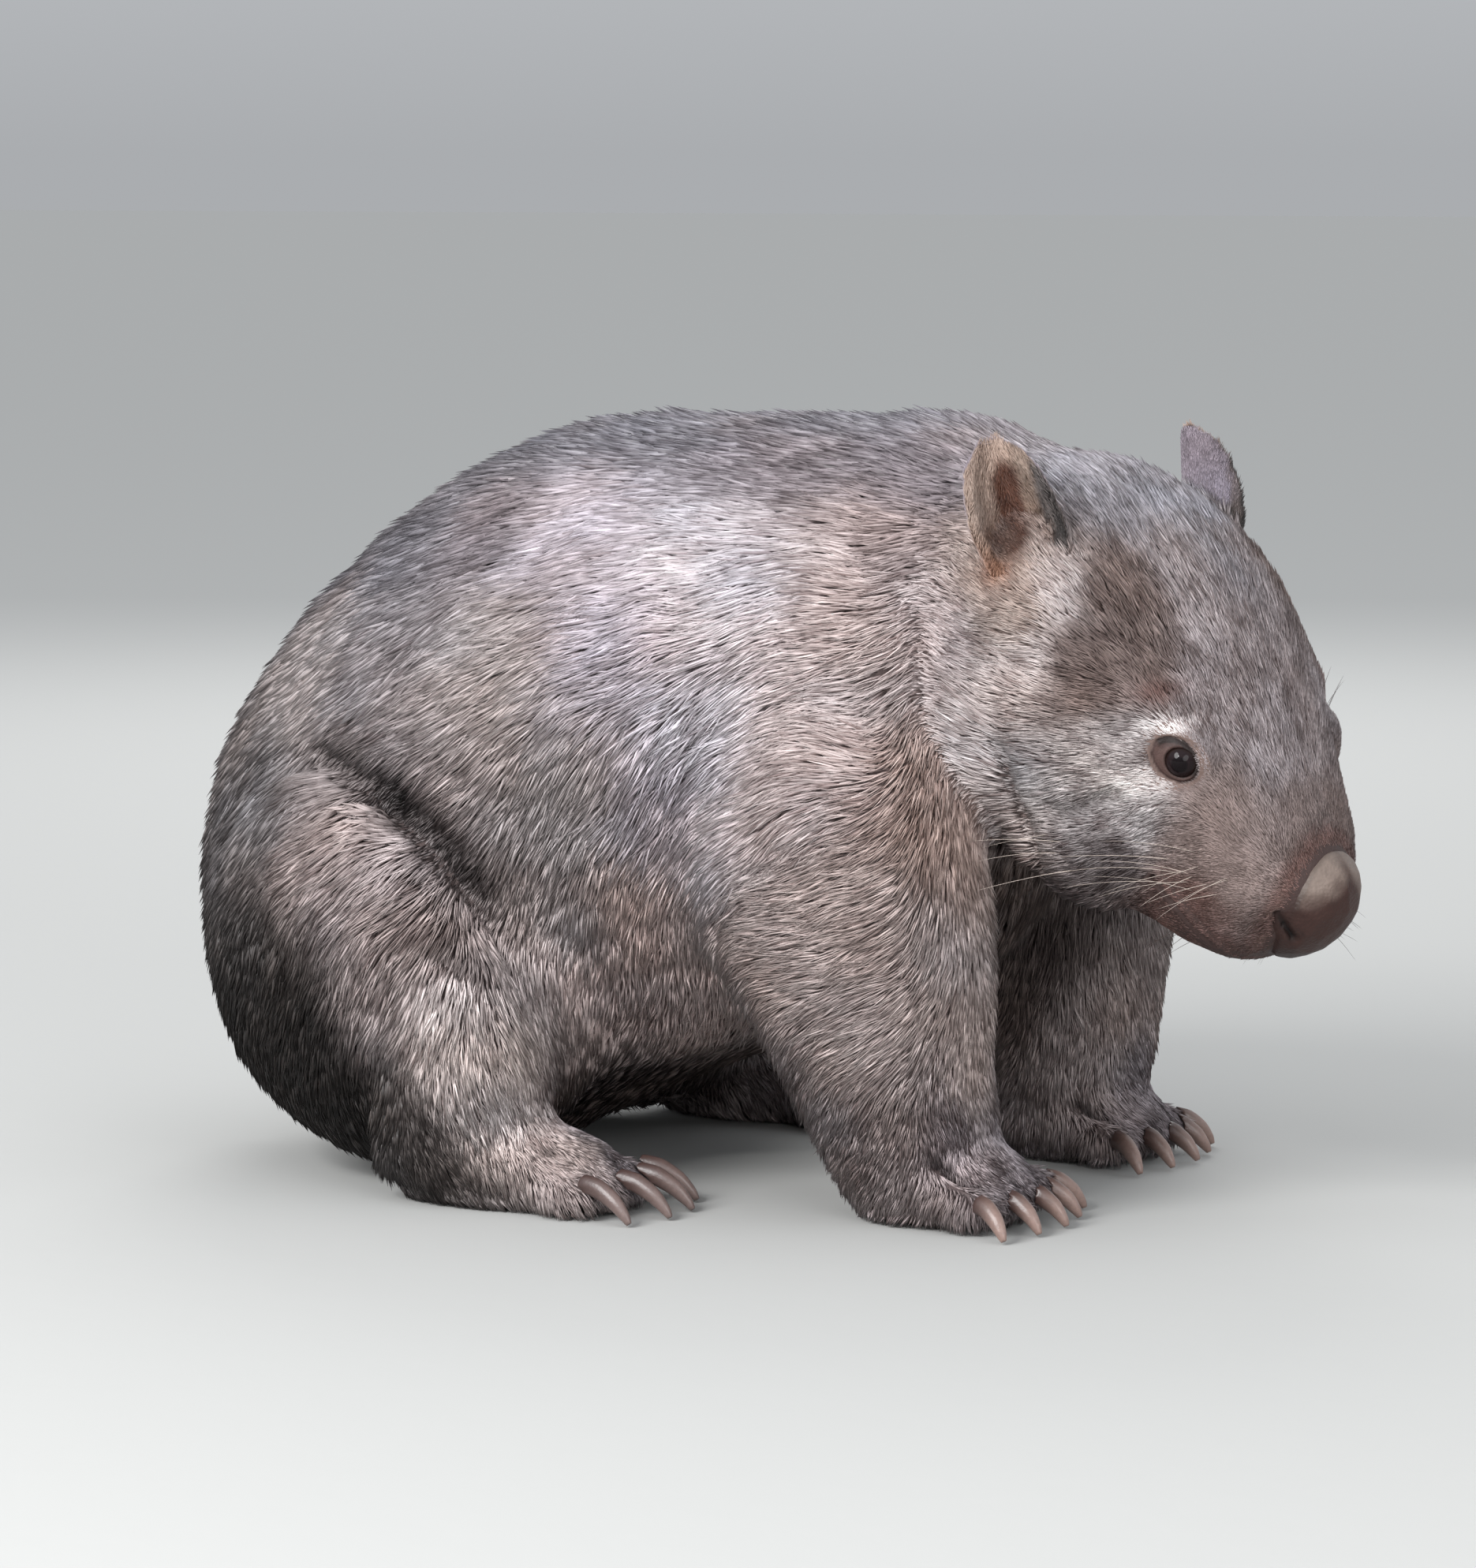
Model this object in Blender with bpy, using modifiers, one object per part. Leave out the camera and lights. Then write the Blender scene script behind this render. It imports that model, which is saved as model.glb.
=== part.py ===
"""A life-size bare-nosed wombat, sitting on its haunches with its head turned and lowered.

Metres. +X is the way the body faces, +Y its left side, +Z up. The floor is z = 0.
The flesh is modelled whole, from lofts and ellipsoids fused by a voxel remesh, and then parted
into head, neck, torso, limbs and tail by thin cuts. Eyes, ears and claws are set on its surface.
"""

import math

import bmesh
import bpy
from mathutils import Matrix, Vector

# The gap that neighbouring nodes keep, and the fineness of the fused flesh
GAP = 0.0003
VOXEL = 0.0040
SMOOTH_STEPS = 12
FLESH_TRIANGLES = 6800
LOFT_SIDES = 32
LOFT_STEPS = 5

SIDES = {"left": 1, "right": -1}

# The head's own frame: x towards the nose tip, y to its left, z to its crown
HEAD_AT = Vector((0.170, -0.015, 0.286))
HEAD_PITCH = math.radians(45)
HEAD_YAW = math.radians(-15)

# Torso, rump to chest: (x, top, bottom, half width)
TORSO = (
    (-0.257, 0.182, 0.074, 0.052),
    (-0.246, 0.218, 0.042, 0.090),
    (-0.220, 0.256, 0.018, 0.115),
    (-0.182, 0.294, 0.000, 0.136),
    (-0.130, 0.330, -0.004, 0.148),
    (-0.070, 0.350, 0.022, 0.150),
    (0.000, 0.353, 0.052, 0.145),
    (0.060, 0.354, 0.066, 0.131),
    (0.105, 0.354, 0.090, 0.112),
    (0.140, 0.344, 0.130, 0.092),
    (0.162, 0.322, 0.170, 0.062),
)
NECK = (
    (0.060, 0.000, 0.236, 0.118, 0.116),
    (0.105, 0.000, 0.246, 0.108, 0.104),
    (0.145, -0.008, 0.252, 0.094, 0.092),
    (0.185, -0.018, 0.252, 0.070, 0.072),
)

# Skull and muzzle in the head's frame, back to nose: (x, top, bottom, half width)
SKULL = (
    (-0.045, 0.030, -0.075, 0.066),
    (-0.020, 0.046, -0.086, 0.080),
    (0.015, 0.055, -0.092, 0.090),
    (0.050, 0.056, -0.092, 0.090),
    (0.085, 0.050, -0.086, 0.079),
    (0.118, 0.039, -0.080, 0.065),
    (0.146, 0.027, -0.073, 0.054),
    (0.170, 0.017, -0.064, 0.045),
    (0.186, 0.004, -0.053, 0.035),
)

SKULL_SQUARE = 0.84

# Rounded masses on the left of the head, in its frame: (centre, radii)
HEAD_LUMPS = (
    ((0.046, 0.054, -0.032), (0.062, 0.042, 0.056)),
    ((0.095, 0.046, -0.050), (0.052, 0.032, 0.036)),
    ((0.082, 0.046, 0.014), (0.036, 0.024, 0.022)),
    ((0.166, 0.016, -0.034), (0.026, 0.024, 0.026)),
)
CHIN = ((0.159, 0.0, -0.046), (0.030, 0.027, 0.021))
NOSE = ((0.184, 0.0, -0.015), (0.022, 0.026, 0.029))
NOSE_CUT = ((0.197, 0.0, -0.008), (0.023, 0.0225, 0.033))
NOSTRIL = ((0.196, 0.021, -0.0175), (0.009, 0.008, 0.0045))

# The mouth's groove: where its plane passes, its slope, how far back and around it runs, its half width
MOUTH_AT = Vector((0.190, 0.0, -0.048))
MOUTH_SLOPE = math.radians(14)
MOUTH_BACK = 0.150
MOUTH_TURN = math.radians(96)
MOUTH_OPEN = 0.0015
MOUTH_WIDE = 1.3
MOUTH_TAPER = 0.7
MOUTH_AIM_FROM = 0.1
MOUTH_STEPS = 16
MOUTH_SIDES = 6

EYE_RADIUS = 0.0085
EYE_AT = Vector((0.1146, 0.045, 0.010))
EYE_AIM_FROM = 0.2
EYE_FACES = Vector((0.45, 0.88, 0.12)).normalized()
EYE_DEPTH = 0.0052
LID_RING = 0.0082
LID_THICK = 0.0030
LID_OUT = 0.0034

EAR_ROOT = Vector((0.013, 0.073, 0.022))
EAR_UP = Vector((-0.77, 0.36, 0.53)).normalized()
EAR_OPENS = Vector((0.50, 0.75, 0.35))
EAR_LENGTH = 0.070
EAR_HALF_WIDTH = 0.0168
EAR_SWELL = (0.68, 0.95, -0.42)
EAR_TIP_HALF = 0.002
EAR_TIP_ROUND = 2.6
EAR_WALL = 0.0055
EAR_WRAP_ROOT = math.radians(118)
EAR_WRAP_TIP = math.radians(76)
EAR_LEAN = 0.006
EAR_SUNK = 0.22
EAR_BACK = 0.018
EAR_GRID = 8

# Limbs on the left side, root to end: (x, y, z, half width, half depth)
FORELEG = (
    (0.070, 0.080, 0.215, 0.050, 0.068),
    (0.083, 0.097, 0.165, 0.054, 0.073),
    (0.098, 0.101, 0.115, 0.048, 0.063),
    (0.109, 0.098, 0.065, 0.042, 0.048),
    (0.117, 0.095, 0.030, 0.039, 0.039),
)
THIGH = ((-0.128, 0.092, 0.116), (0.106, 0.078, 0.112))
KNEE = ((-0.090, 0.124, 0.102), (0.045, 0.042, 0.060))
SHANK = (
    (-0.084, 0.128, 0.115, 0.036, 0.040),
    (-0.080, 0.138, 0.075, 0.038, 0.042),
    (-0.085, 0.138, 0.035, 0.036, 0.042),
    (-0.090, 0.136, 0.012, 0.032, 0.040),
)
FOREPAW = ((0.124, 0.094, 0.020), (0.044, 0.038, 0.024))
HIND_SOLE = ((-0.064, 0.137, 0.018), (0.060, 0.031, 0.024))
SHOULDER = ((0.075, 0.078, 0.205), (0.070, 0.052, 0.100))
TAIL = ((-0.246, 0.0, 0.066), (0.018, 0.013, 0.022))

# How far each forefoot stands ahead of the place given, and how high up the leg that is taken up
FORE_STEP = {1: -0.008, -1: 0.006}
STEP_HEIGHT = 0.165
# How far ahead the middle of each foreleg bows
FORE_BOW = {1: 0.011, -1: 0.0}

# Toes: how many, how they fan, and each one's rounded end and claw
FORE_TOES = 5
FORE_TOE_FAN = math.radians(62)
FORE_TOE_REACH = 0.037
HIND_TOES = 4
HIND_TOE_FAN = math.radians(26)
HIND_TOE_REACH = 0.057
TOE = (0.019, 0.0090, 0.0115)
TOE_DROP = 0.006
TOE_SPREAD = 1.75
TOE_ROUND = 0.5
# Claws: how far they reach, how high and how far out they start, and their half widths from root to tip
CLAW_LENGTH = {"fore": 0.0185, "hind": 0.0265}
CLAW_HALF = 0.0040
CLAW_DEEP = 1.2
CLAW_HEIGHT = {"fore": 0.0105, "hind": 0.0125}
CLAW_FROM = 0.0090
CLAW_ROWS = ((0.0, 1.0), (0.35, 1.0), (0.7, 0.85), (0.92, 0.55), (1.0, 0.3))

# Where the flesh is parted: boxes by their low and high corners on the left, and the thigh's ellipsoid
WRIST_CUT = ((0.060, 0.040, -0.01), (0.25, 0.20, 0.036))
ANKLE_CUT = ((-0.115, 0.100, -0.01), (0.06, 0.22, 0.036))
ELBOW_CUT = ((0.020, 0.052, 0.0), (0.168, 0.20, 0.135))
KNEE_CUT = ((-0.130, 0.098, 0.0), (0.02, 0.22, 0.090))
THIGH_CUT = ((-0.125, 0.118, 0.115), (0.128, 0.085, 0.128))
HEAD_CUT = ((0.120, 0.40), (0.150, 0.245), (0.170, 0.180), (0.170, 0.05), (0.45, 0.05), (0.45, 0.40))
PRISM_HALF = 0.3
NECK_CUT = ((0.065, 0.40), (0.106, 0.245), (0.126, 0.190), (0.160, 0.150), (0.45, 0.05), (0.45, 0.40))

# The materials' colours
COAT = (0.33, 0.30, 0.28)
NOSE_SKIN = (0.20, 0.16, 0.14)
HORN = (0.36, 0.31, 0.28)
EYE_BROWN = (0.03, 0.018, 0.012)


def clear_scene():
    for old in list(bpy.data.objects):
        bpy.data.objects.remove(old, do_unlink=True)


def material(name, colour, roughness):
    made = bpy.data.materials.new(name)
    made.use_nodes = True
    shader = made.node_tree.nodes["Principled BSDF"]
    shader.inputs["Base Color"].default_value = (*colour, 1.0)
    shader.inputs["Roughness"].default_value = roughness
    shader.inputs["Metallic"].default_value = 0.0
    return made


def new_object(name, bm, collection):
    mesh = bpy.data.meshes.new(name)
    bm.to_mesh(mesh)
    bm.free()
    made = bpy.data.objects.new(name, mesh)
    collection.objects.link(made)
    return made


def copy_of(obj, name):
    made = obj.copy()
    made.data = obj.data.copy()
    made.name = name
    obj.users_collection[0].objects.link(made)
    return made


def remove(obj):
    bpy.data.objects.remove(obj, do_unlink=True)


def applied(obj):
    """Puts what the object's modifiers make in place of its mesh."""
    graph = bpy.context.evaluated_depsgraph_get()
    made = bpy.data.meshes.new_from_object(obj.evaluated_get(graph))
    obj.modifiers.clear()
    obj.data = made
    return obj


def keep_largest(obj):
    """Leaves only the closed surface with the most volume."""
    bm = bmesh.new()
    bm.from_mesh(obj.data)
    bmesh.ops.triangulate(bm, faces=bm.faces)
    left = set(bm.faces)
    shells = []
    while left:
        queue = [left.pop()]
        shell = set(queue)
        while queue:
            for edge in queue.pop().edges:
                for face in edge.link_faces:
                    if face in left:
                        left.discard(face)
                        shell.add(face)
                        queue.append(face)
        corners = ([v.co for v in face.verts] for face in shell)
        shells.append((sum(a.dot(b.cross(c)) for a, b, c in corners), shell))
    keep = max(shells, key=lambda pair: pair[0])[1]
    bmesh.ops.delete(bm, geom=[f for f in bm.faces if f not in keep], context="FACES")
    bm.to_mesh(obj.data)
    bm.free()
    return obj


def boolean(obj, other, operation):
    """Cuts or joins obj with other, and removes other."""
    step = obj.modifiers.new(operation, "BOOLEAN")
    step.operation = operation
    step.object = other
    applied(obj)
    remove(other)
    return keep_largest(obj)


def inflated(obj, by):
    made = copy_of(obj, obj.name + "_inflated")
    bm = bmesh.new()
    bm.from_mesh(made.data)
    bm.normal_update()
    for vert in bm.verts:
        vert.co += vert.normal * by * vert.calc_shell_factor()
    bm.to_mesh(made.data)
    bm.free()
    return made


def smooth_between(rows, t):
    """The row at t along a Catmull-Rom curve through the rows, t counted in rows."""
    i = min(int(t), len(rows) - 2)
    f = t - i
    before, start, end, after = (rows[max(0, min(len(rows) - 1, i + k))] for k in (-1, 0, 1, 2))
    return [
        0.5 * (2 * b + (c - a) * f + (2 * a - 5 * b + 4 * c - d) * f * f + (3 * b - a - 3 * c + d) * f**3)
        for a, b, c, d in zip(before, start, end, after)
    ]


def rounded(value, square):
    """A sine or cosine drawn out towards its ends, so that a round section goes square."""
    return math.copysign(abs(value) ** square, value)


def add_loft(
    bm, rows, place=Matrix.Identity(4), upright=False, square=1.0, sides=LOFT_SIDES, steps=LOFT_STEPS
):
    """A closed tube of rounded sections. Each row is (x, y, z, half width, half depth)."""
    count = (len(rows) - 1) * steps
    points = [smooth_between(rows, i / steps) for i in range(count + 1)]
    centres = [Vector(p[:3]) for p in points]
    rings = []
    for i, (point, centre) in enumerate(zip(points, centres)):
        along = (centres[min(i + 1, count)] - centres[max(i - 1, 0)]).normalized()
        if upright:
            along = Vector((1, 0, 0))
        side = (Vector((0, 1, 0)) - along * along.y).normalized()
        deep = along.cross(side)
        ring = []
        for k in range(sides):
            angle = 2 * math.pi * k / sides
            offset = side * rounded(math.cos(angle), square) * point[3]
            offset += deep * rounded(math.sin(angle), square) * point[4]
            ring.append(bm.verts.new(place @ (centre + offset)))
        rings.append(ring)
    for near, far in zip(rings, rings[1:]):
        for k in range(sides):
            n = (k + 1) % sides
            bm.faces.new((near[k], near[n], far[n], far[k]))
    bm.faces.new(rings[0][::-1])
    bm.faces.new(rings[-1])


def add_lump(bm, centre, radii, place=Matrix.Identity(4), detail=4):
    """An ellipsoid."""
    matrix = place @ Matrix.Translation(centre) @ Matrix.Diagonal((*radii, 1.0))
    bmesh.ops.create_icosphere(bm, subdivisions=detail, radius=1.0, matrix=matrix)


def lump_object(name, collection, centre, radii, place=Matrix.Identity(4), detail=4):
    bm = bmesh.new()
    add_lump(bm, centre, radii, place, detail)
    return new_object(name, bm, collection)


def box_object(name, collection, low, high, place=Matrix.Identity(4)):
    low, high = Vector(low), Vector(high)
    bm = bmesh.new()
    matrix = place @ Matrix.Translation((low + high) / 2) @ Matrix.Diagonal((*(high - low), 1.0))
    bmesh.ops.create_cube(bm, size=1.0, matrix=matrix)
    return new_object(name, bm, collection)


def head_frame():
    turn = Matrix.Rotation(HEAD_YAW, 4, "Z") @ Matrix.Rotation(HEAD_PITCH, 4, "Y")
    return Matrix.Translation(HEAD_AT) @ turn


def to_side(point, side):
    """A point or a row of the left side, turned to the side wanted, +1 left and -1 right."""
    return (point[0], point[1] * side, *point[2:])


def stepped(point, side):
    """A point or a row of the left foreleg, turned to the side wanted and moved with its step."""
    share = max(0.0, 1 - point[2] / STEP_HEIGHT)
    ahead = FORE_STEP[side] * share + FORE_BOW[side] * 4 * share * (1 - share)
    return (point[0] + ahead, point[1] * side, *point[2:])


def toe_places(kind, side):
    """Where each toe's end is, and the way it points."""
    fore = kind == "fore"
    count, fan, reach = (
        (FORE_TOES, FORE_TOE_FAN, FORE_TOE_REACH) if fore else (HIND_TOES, HIND_TOE_FAN, HIND_TOE_REACH)
    )
    middle = (FOREPAW if fore else HIND_SOLE)[0]
    width = (FOREPAW if fore else HIND_SOLE)[1][1]
    for i in range(count):
        share = i / (count - 1) - 0.5
        angle = share * fan
        way = Vector((math.cos(angle), math.sin(angle), 0))
        ahead = reach * (1 - TOE_ROUND * abs(share) ** 1.5)
        out = Vector((ahead, share * TOE_SPREAD * width, -TOE_DROP))
        place = Vector(middle) + out
        yield Vector((stepped if fore else to_side)(place, side)), Vector(to_side(way, side))


def upright_rows(profile):
    """Rows for a loft along x from (x, top, bottom, half width)."""
    return [(x, 0, (top + bottom) / 2, half, (top - bottom) / 2) for x, top, bottom, half in profile]


def add_flesh(bm):
    head = head_frame()
    add_loft(bm, upright_rows(TORSO), upright=True)
    add_loft(bm, NECK)
    add_loft(bm, upright_rows(SKULL), head, upright=True, square=SKULL_SQUARE)
    add_lump(bm, *CHIN, head)
    add_lump(bm, *NOSE, head)
    for side in SIDES.values():
        for centre, radii in HEAD_LUMPS:
            add_lump(bm, to_side(centre, side), radii, head)
        add_loft(bm, [stepped(row, side) for row in FORELEG])
        add_loft(bm, [to_side(row, side) for row in SHANK])
        add_lump(bm, stepped(FOREPAW[0], side), FOREPAW[1])
        for centre, radii in (SHOULDER, THIGH, KNEE, HIND_SOLE):
            add_lump(bm, to_side(centre, side), radii)
        for kind in ("fore", "hind"):
            for place, way in toe_places(kind, side):
                add_lump(bm, place, TOE, detail=2)


def whole_flesh(collection):
    bm = bmesh.new()
    add_flesh(bm)
    flesh = new_object("flesh", bm, collection)
    remesh = flesh.modifiers.new("fuse", "REMESH")
    remesh.mode = "VOXEL"
    remesh.voxel_size = VOXEL
    soften = flesh.modifiers.new("soften", "SMOOTH")
    soften.iterations = SMOOTH_STEPS
    applied(flesh)
    thin = flesh.modifiers.new("thin", "DECIMATE")
    thin.ratio = FLESH_TRIANGLES / (2 * len(flesh.data.polygons))
    applied(flesh)
    return boolean(flesh, box_object("floor", collection, (-1, -1, -1), (1, 1, 0)), "DIFFERENCE")


def part_off(flesh, name, region):
    """Parts from the flesh what lies in the region, a function that makes its solid, grown by a length."""
    piece = boolean(copy_of(flesh, name), region(0), "INTERSECT")
    boolean(flesh, region(GAP), "DIFFERENCE")
    return piece


def box_region(collection, low, high, place=Matrix.Identity(4)):
    def region(grow):
        more = Vector((grow, grow, grow))
        return box_object("region", collection, Vector(low) - more, Vector(high) + more, place)

    return region


def prism_region(collection, profile, half=PRISM_HALF):
    """The space of a profile in x and z, drawn out across the body."""
    def region(grow):
        bm = bmesh.new()
        near = [bm.verts.new((x, -half, z)) for x, z in profile]
        far = [bm.verts.new((x, half, z)) for x, z in profile]
        bm.faces.new(near)
        bm.faces.new(far[::-1])
        for i in range(len(profile)):
            n = (i + 1) % len(profile)
            bm.faces.new((near[i], far[i], far[n], near[n]))
        bmesh.ops.recalc_face_normals(bm, faces=bm.faces)
        made = new_object("region", bm, collection)
        grown = inflated(made, grow)
        remove(made)
        return grown

    return region


def lump_region(collection, centre, radii, place=Matrix.Identity(4)):
    def region(grow):
        return lump_object("region", collection, centre, [r + grow for r in radii], place, 3)

    return region


def eye_places(flesh):
    """Each eye's centre and the way it faces, set in from the head's surface."""
    head = head_frame()
    for name, side in SIDES.items():
        faces = (head.to_3x3() @ Vector(to_side(EYE_FACES, side))).normalized()
        aim = head @ Vector(to_side(EYE_AT, side))
        hit, place, _, _ = flesh.ray_cast(aim + faces * EYE_AIM_FROM, -faces)
        if not hit:
            raise ValueError("the eye's aim misses the head")
        yield name, place - faces * EYE_DEPTH, faces


def set_eyes(flesh, collection):
    for name, centre, faces in list(eye_places(flesh)):
        turn = faces.to_track_quat("Z", "Y").to_matrix().to_4x4()
        bpy.ops.mesh.primitive_torus_add(
            major_radius=LID_RING, minor_radius=LID_THICK, major_segments=20, minor_segments=8
        )
        ring = bpy.context.active_object
        ring.data.transform(Matrix.Translation(centre + faces * LID_OUT) @ turn)
        boolean(flesh, ring, "UNION")
        socket = lump_object("socket", collection, centre, [EYE_RADIUS + GAP] * 3, detail=3)
        boolean(flesh, socket, "DIFFERENCE")
        lump_object("eye_" + name, collection, centre, [EYE_RADIUS] * 3, detail=3)


def cut_mouth(head, collection):
    """A groove along the lips: a thin tube that follows the muzzle's surface in the mouth's plane."""
    place = head_frame() @ Matrix.Translation(MOUTH_AT) @ Matrix.Rotation(MOUTH_SLOPE, 4, "Y")
    middle = place @ Vector((MOUTH_BACK - MOUTH_AT.x, 0, 0))
    up = place.to_3x3() @ Vector((0, 0, 1))
    bm = bmesh.new()
    rings = []
    for i in range(MOUTH_STEPS + 1):
        share = 2 * i / MOUTH_STEPS - 1
        way = place.to_3x3() @ Vector((math.cos(MOUTH_TURN * share), math.sin(MOUTH_TURN * share), 0))
        hit, point, _, _ = head.ray_cast(middle + way * MOUTH_AIM_FROM, -way)
        if not hit:
            raise ValueError("the mouth's plane misses the muzzle")
        radius = MOUTH_OPEN * (1 - MOUTH_TAPER * share**4)
        turns = (2 * math.pi * k / MOUTH_SIDES for k in range(MOUTH_SIDES))
        offsets = [way * math.cos(a) * MOUTH_WIDE + up * math.sin(a) for a in turns]
        rings.append([bm.verts.new(point + offset * radius) for offset in offsets])
    for near, far in zip(rings, rings[1:]):
        for k in range(MOUTH_SIDES):
            n = (k + 1) % MOUTH_SIDES
            bm.faces.new((near[k], near[n], far[n], far[k]))
    bm.faces.new(rings[0][::-1])
    bm.faces.new(rings[-1])
    bmesh.ops.recalc_face_normals(bm, faces=bm.faces)
    return boolean(head, new_object("mouth", bm, collection), "DIFFERENCE")


def ear_surface(s, t):
    """A point of the left ear's cup, s from root to tip and t across it, in the head's frame."""
    opens = (EAR_OPENS - EAR_UP * EAR_OPENS.dot(EAR_UP)).normalized()
    across = EAR_UP.cross(opens)
    swell = EAR_SWELL[0] + EAR_SWELL[1] * s + EAR_SWELL[2] * s * s
    half = EAR_HALF_WIDTH * swell * math.sqrt(max(0.0, 1 - s**EAR_TIP_ROUND)) + EAR_TIP_HALF
    wrap = (EAR_WRAP_ROOT + (EAR_WRAP_TIP - EAR_WRAP_ROOT) * s) * t
    cup = across * math.sin(wrap) * half + opens * (1 - math.cos(wrap)) * half
    lean = opens * EAR_LEAN * s * s
    return EAR_ROOT + EAR_UP * EAR_LENGTH * (s - EAR_SUNK) - opens * EAR_BACK + cup - lean


def make_ears(head, collection):
    frame = head_frame()
    for name, side in SIDES.items():
        bm = bmesh.new()
        bmesh.ops.create_grid(bm, x_segments=EAR_GRID, y_segments=EAR_GRID, size=1.0)
        for vert in bm.verts:
            point = ear_surface((vert.co.x + 1) / 2, vert.co.y)
            vert.co = frame @ Vector(to_side(point, side))
        ear = new_object("ear_" + name, bm, collection)
        wall = ear.modifiers.new("wall", "SOLIDIFY")
        wall.thickness = EAR_WALL
        wall.offset = 0
        applied(ear)
        bm = bmesh.new()
        bm.from_mesh(ear.data)
        bmesh.ops.recalc_face_normals(bm, faces=bm.faces)
        bm.to_mesh(ear.data)
        bm.free()
        boolean(ear, inflated(head, GAP), "DIFFERENCE")


def make_claws(feet, collection):
    """A claw at each toe's end, curving down to the floor."""
    for (kind, name), foot in feet.items():
        for i, (place, way) in enumerate(toe_places(kind, SIDES[name]), 1):
            rows = []
            for share, half in CLAW_ROWS:
                out = place + way * (CLAW_FROM + CLAW_LENGTH[kind] * share)
                height = CLAW_HEIGHT[kind] * (1 - share**2) + CLAW_HALF * CLAW_DEEP * half
                rows.append((out.x, out.y, height, CLAW_HALF * half, CLAW_HALF * CLAW_DEEP * half))
            bm = bmesh.new()
            add_loft(bm, rows, sides=8, steps=1)
            claw = new_object(f"claw_{kind}_{name}_{i}", bm, collection)
            boolean(claw, inflated(foot, GAP), "DIFFERENCE")


def part_flesh(flesh, collection):
    """Parts the flesh into its nodes, from the feet up, and gives each foot by its kind and side."""
    head = head_frame()
    feet = {}
    for name, side in SIDES.items():
        for kind, low, high in (("fore",) + WRIST_CUT, ("hind",) + ANKLE_CUT):
            region = box_region(collection, *side_box(low, high, side))
            feet[kind, name] = part_off(flesh, f"{kind}foot_{name}", region)
        for limb, low, high in (("foreleg",) + ELBOW_CUT, ("shank",) + KNEE_CUT):
            part_off(flesh, f"{limb}_{name}", box_region(collection, *side_box(low, high, side)))
        centre, radii = THIGH_CUT
        part_off(flesh, "thigh_" + name, lump_region(collection, to_side(centre, side), radii))
    skull = part_off(flesh, "head", prism_region(collection, HEAD_CUT))
    part_off(flesh, "neck", prism_region(collection, NECK_CUT))
    for side in SIDES.values():
        centre, radii = NOSTRIL
        nostril = lump_object("nostril", collection, to_side(centre, side), radii, head, 2)
        boolean(skull, nostril, "DIFFERENCE")
    part_off(skull, "nose", lump_region(collection, *NOSE_CUT, head))
    cut_mouth(skull, collection)
    flesh.name = "torso"
    return skull, feet


def side_box(low, high, side):
    """A box's two corners on the side wanted."""
    if side > 0:
        return low, high
    return (low[0], -high[1], low[2]), (high[0], -low[1], high[2])


def centre_on_floor(objects):
    """Moves all the meshes as one, so that the origin is on the floor under their box's middle."""
    corners = [Vector(corner) for obj in objects for corner in obj.bound_box]
    low, high = (Vector(f(c[i] for c in corners) for i in range(3)) for f in (min, max))
    shift = Vector((-(low.x + high.x) / 2, -(low.y + high.y) / 2, -low.z))
    for obj in objects:
        obj.data.transform(Matrix.Translation(shift))


def main():
    clear_scene()
    parts = bpy.data.collections.new("wombat")
    bpy.context.scene.collection.children.link(parts)
    flesh = whole_flesh(parts)
    set_eyes(flesh, parts)
    skull, feet = part_flesh(flesh, parts)
    make_ears(skull, parts)
    make_claws(feet, parts)
    tail = lump_object("tail", parts, *TAIL, detail=2)
    boolean(tail, inflated(flesh, GAP), "DIFFERENCE")
    centre_on_floor(parts.objects)
    coat = material("coat", COAT, 0.8)
    others = {
        "nose": material("nose_skin", NOSE_SKIN, 0.5),
        "eye": material("eye_brown", EYE_BROWN, 0.08),
        "claw": material("horn", HORN, 0.4),
    }
    for obj in parts.objects:
        obj.data.materials.clear()
        obj.data.materials.append(others.get(obj.name.split("_")[0], coat))


if __name__ == "__main__":
    main()
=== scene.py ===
"""Looks of a life-size bare-nosed wombat that sits on its haunches, as a museum shows one.

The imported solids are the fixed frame. One skin stands for all the flesh and lies inside it by the
coat's depth. The coat is solid tufts, rooted in the skin, that follow the lie of the fur.
Metres. +X is the way the body faces, +Y its left side, +Z up. The floor is z = 0.
"""

import math

import bmesh
import bpy
import numpy as np
from mathutils import Matrix, Vector
from mathutils.bvhtree import BVHTree


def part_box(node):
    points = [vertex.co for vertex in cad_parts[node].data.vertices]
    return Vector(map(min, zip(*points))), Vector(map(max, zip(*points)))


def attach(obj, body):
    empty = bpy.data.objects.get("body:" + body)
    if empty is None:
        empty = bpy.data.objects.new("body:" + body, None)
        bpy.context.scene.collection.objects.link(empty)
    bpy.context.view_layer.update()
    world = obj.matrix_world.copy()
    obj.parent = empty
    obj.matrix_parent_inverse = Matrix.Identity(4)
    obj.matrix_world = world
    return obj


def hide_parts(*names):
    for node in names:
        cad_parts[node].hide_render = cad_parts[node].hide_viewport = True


bl_info = {
    "name": "Sitting wombat",
    "version": (1, 0, 0),
    "blender": (4, 5, 0),
    "location": "3D View > Sidebar > Wombat",
    "description": "Skin, coat, eyes, nose, claws and whiskers of a sitting wombat, and its stage",
    "category": "Object",
}

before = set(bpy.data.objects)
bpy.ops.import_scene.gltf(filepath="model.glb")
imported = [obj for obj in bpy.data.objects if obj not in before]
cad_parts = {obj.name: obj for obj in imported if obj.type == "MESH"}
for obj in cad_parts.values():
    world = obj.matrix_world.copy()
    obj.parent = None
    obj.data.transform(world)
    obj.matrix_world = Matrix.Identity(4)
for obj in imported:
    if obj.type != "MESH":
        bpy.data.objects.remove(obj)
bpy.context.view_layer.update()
SIDES = {"left": 1, "right": -1}

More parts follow.
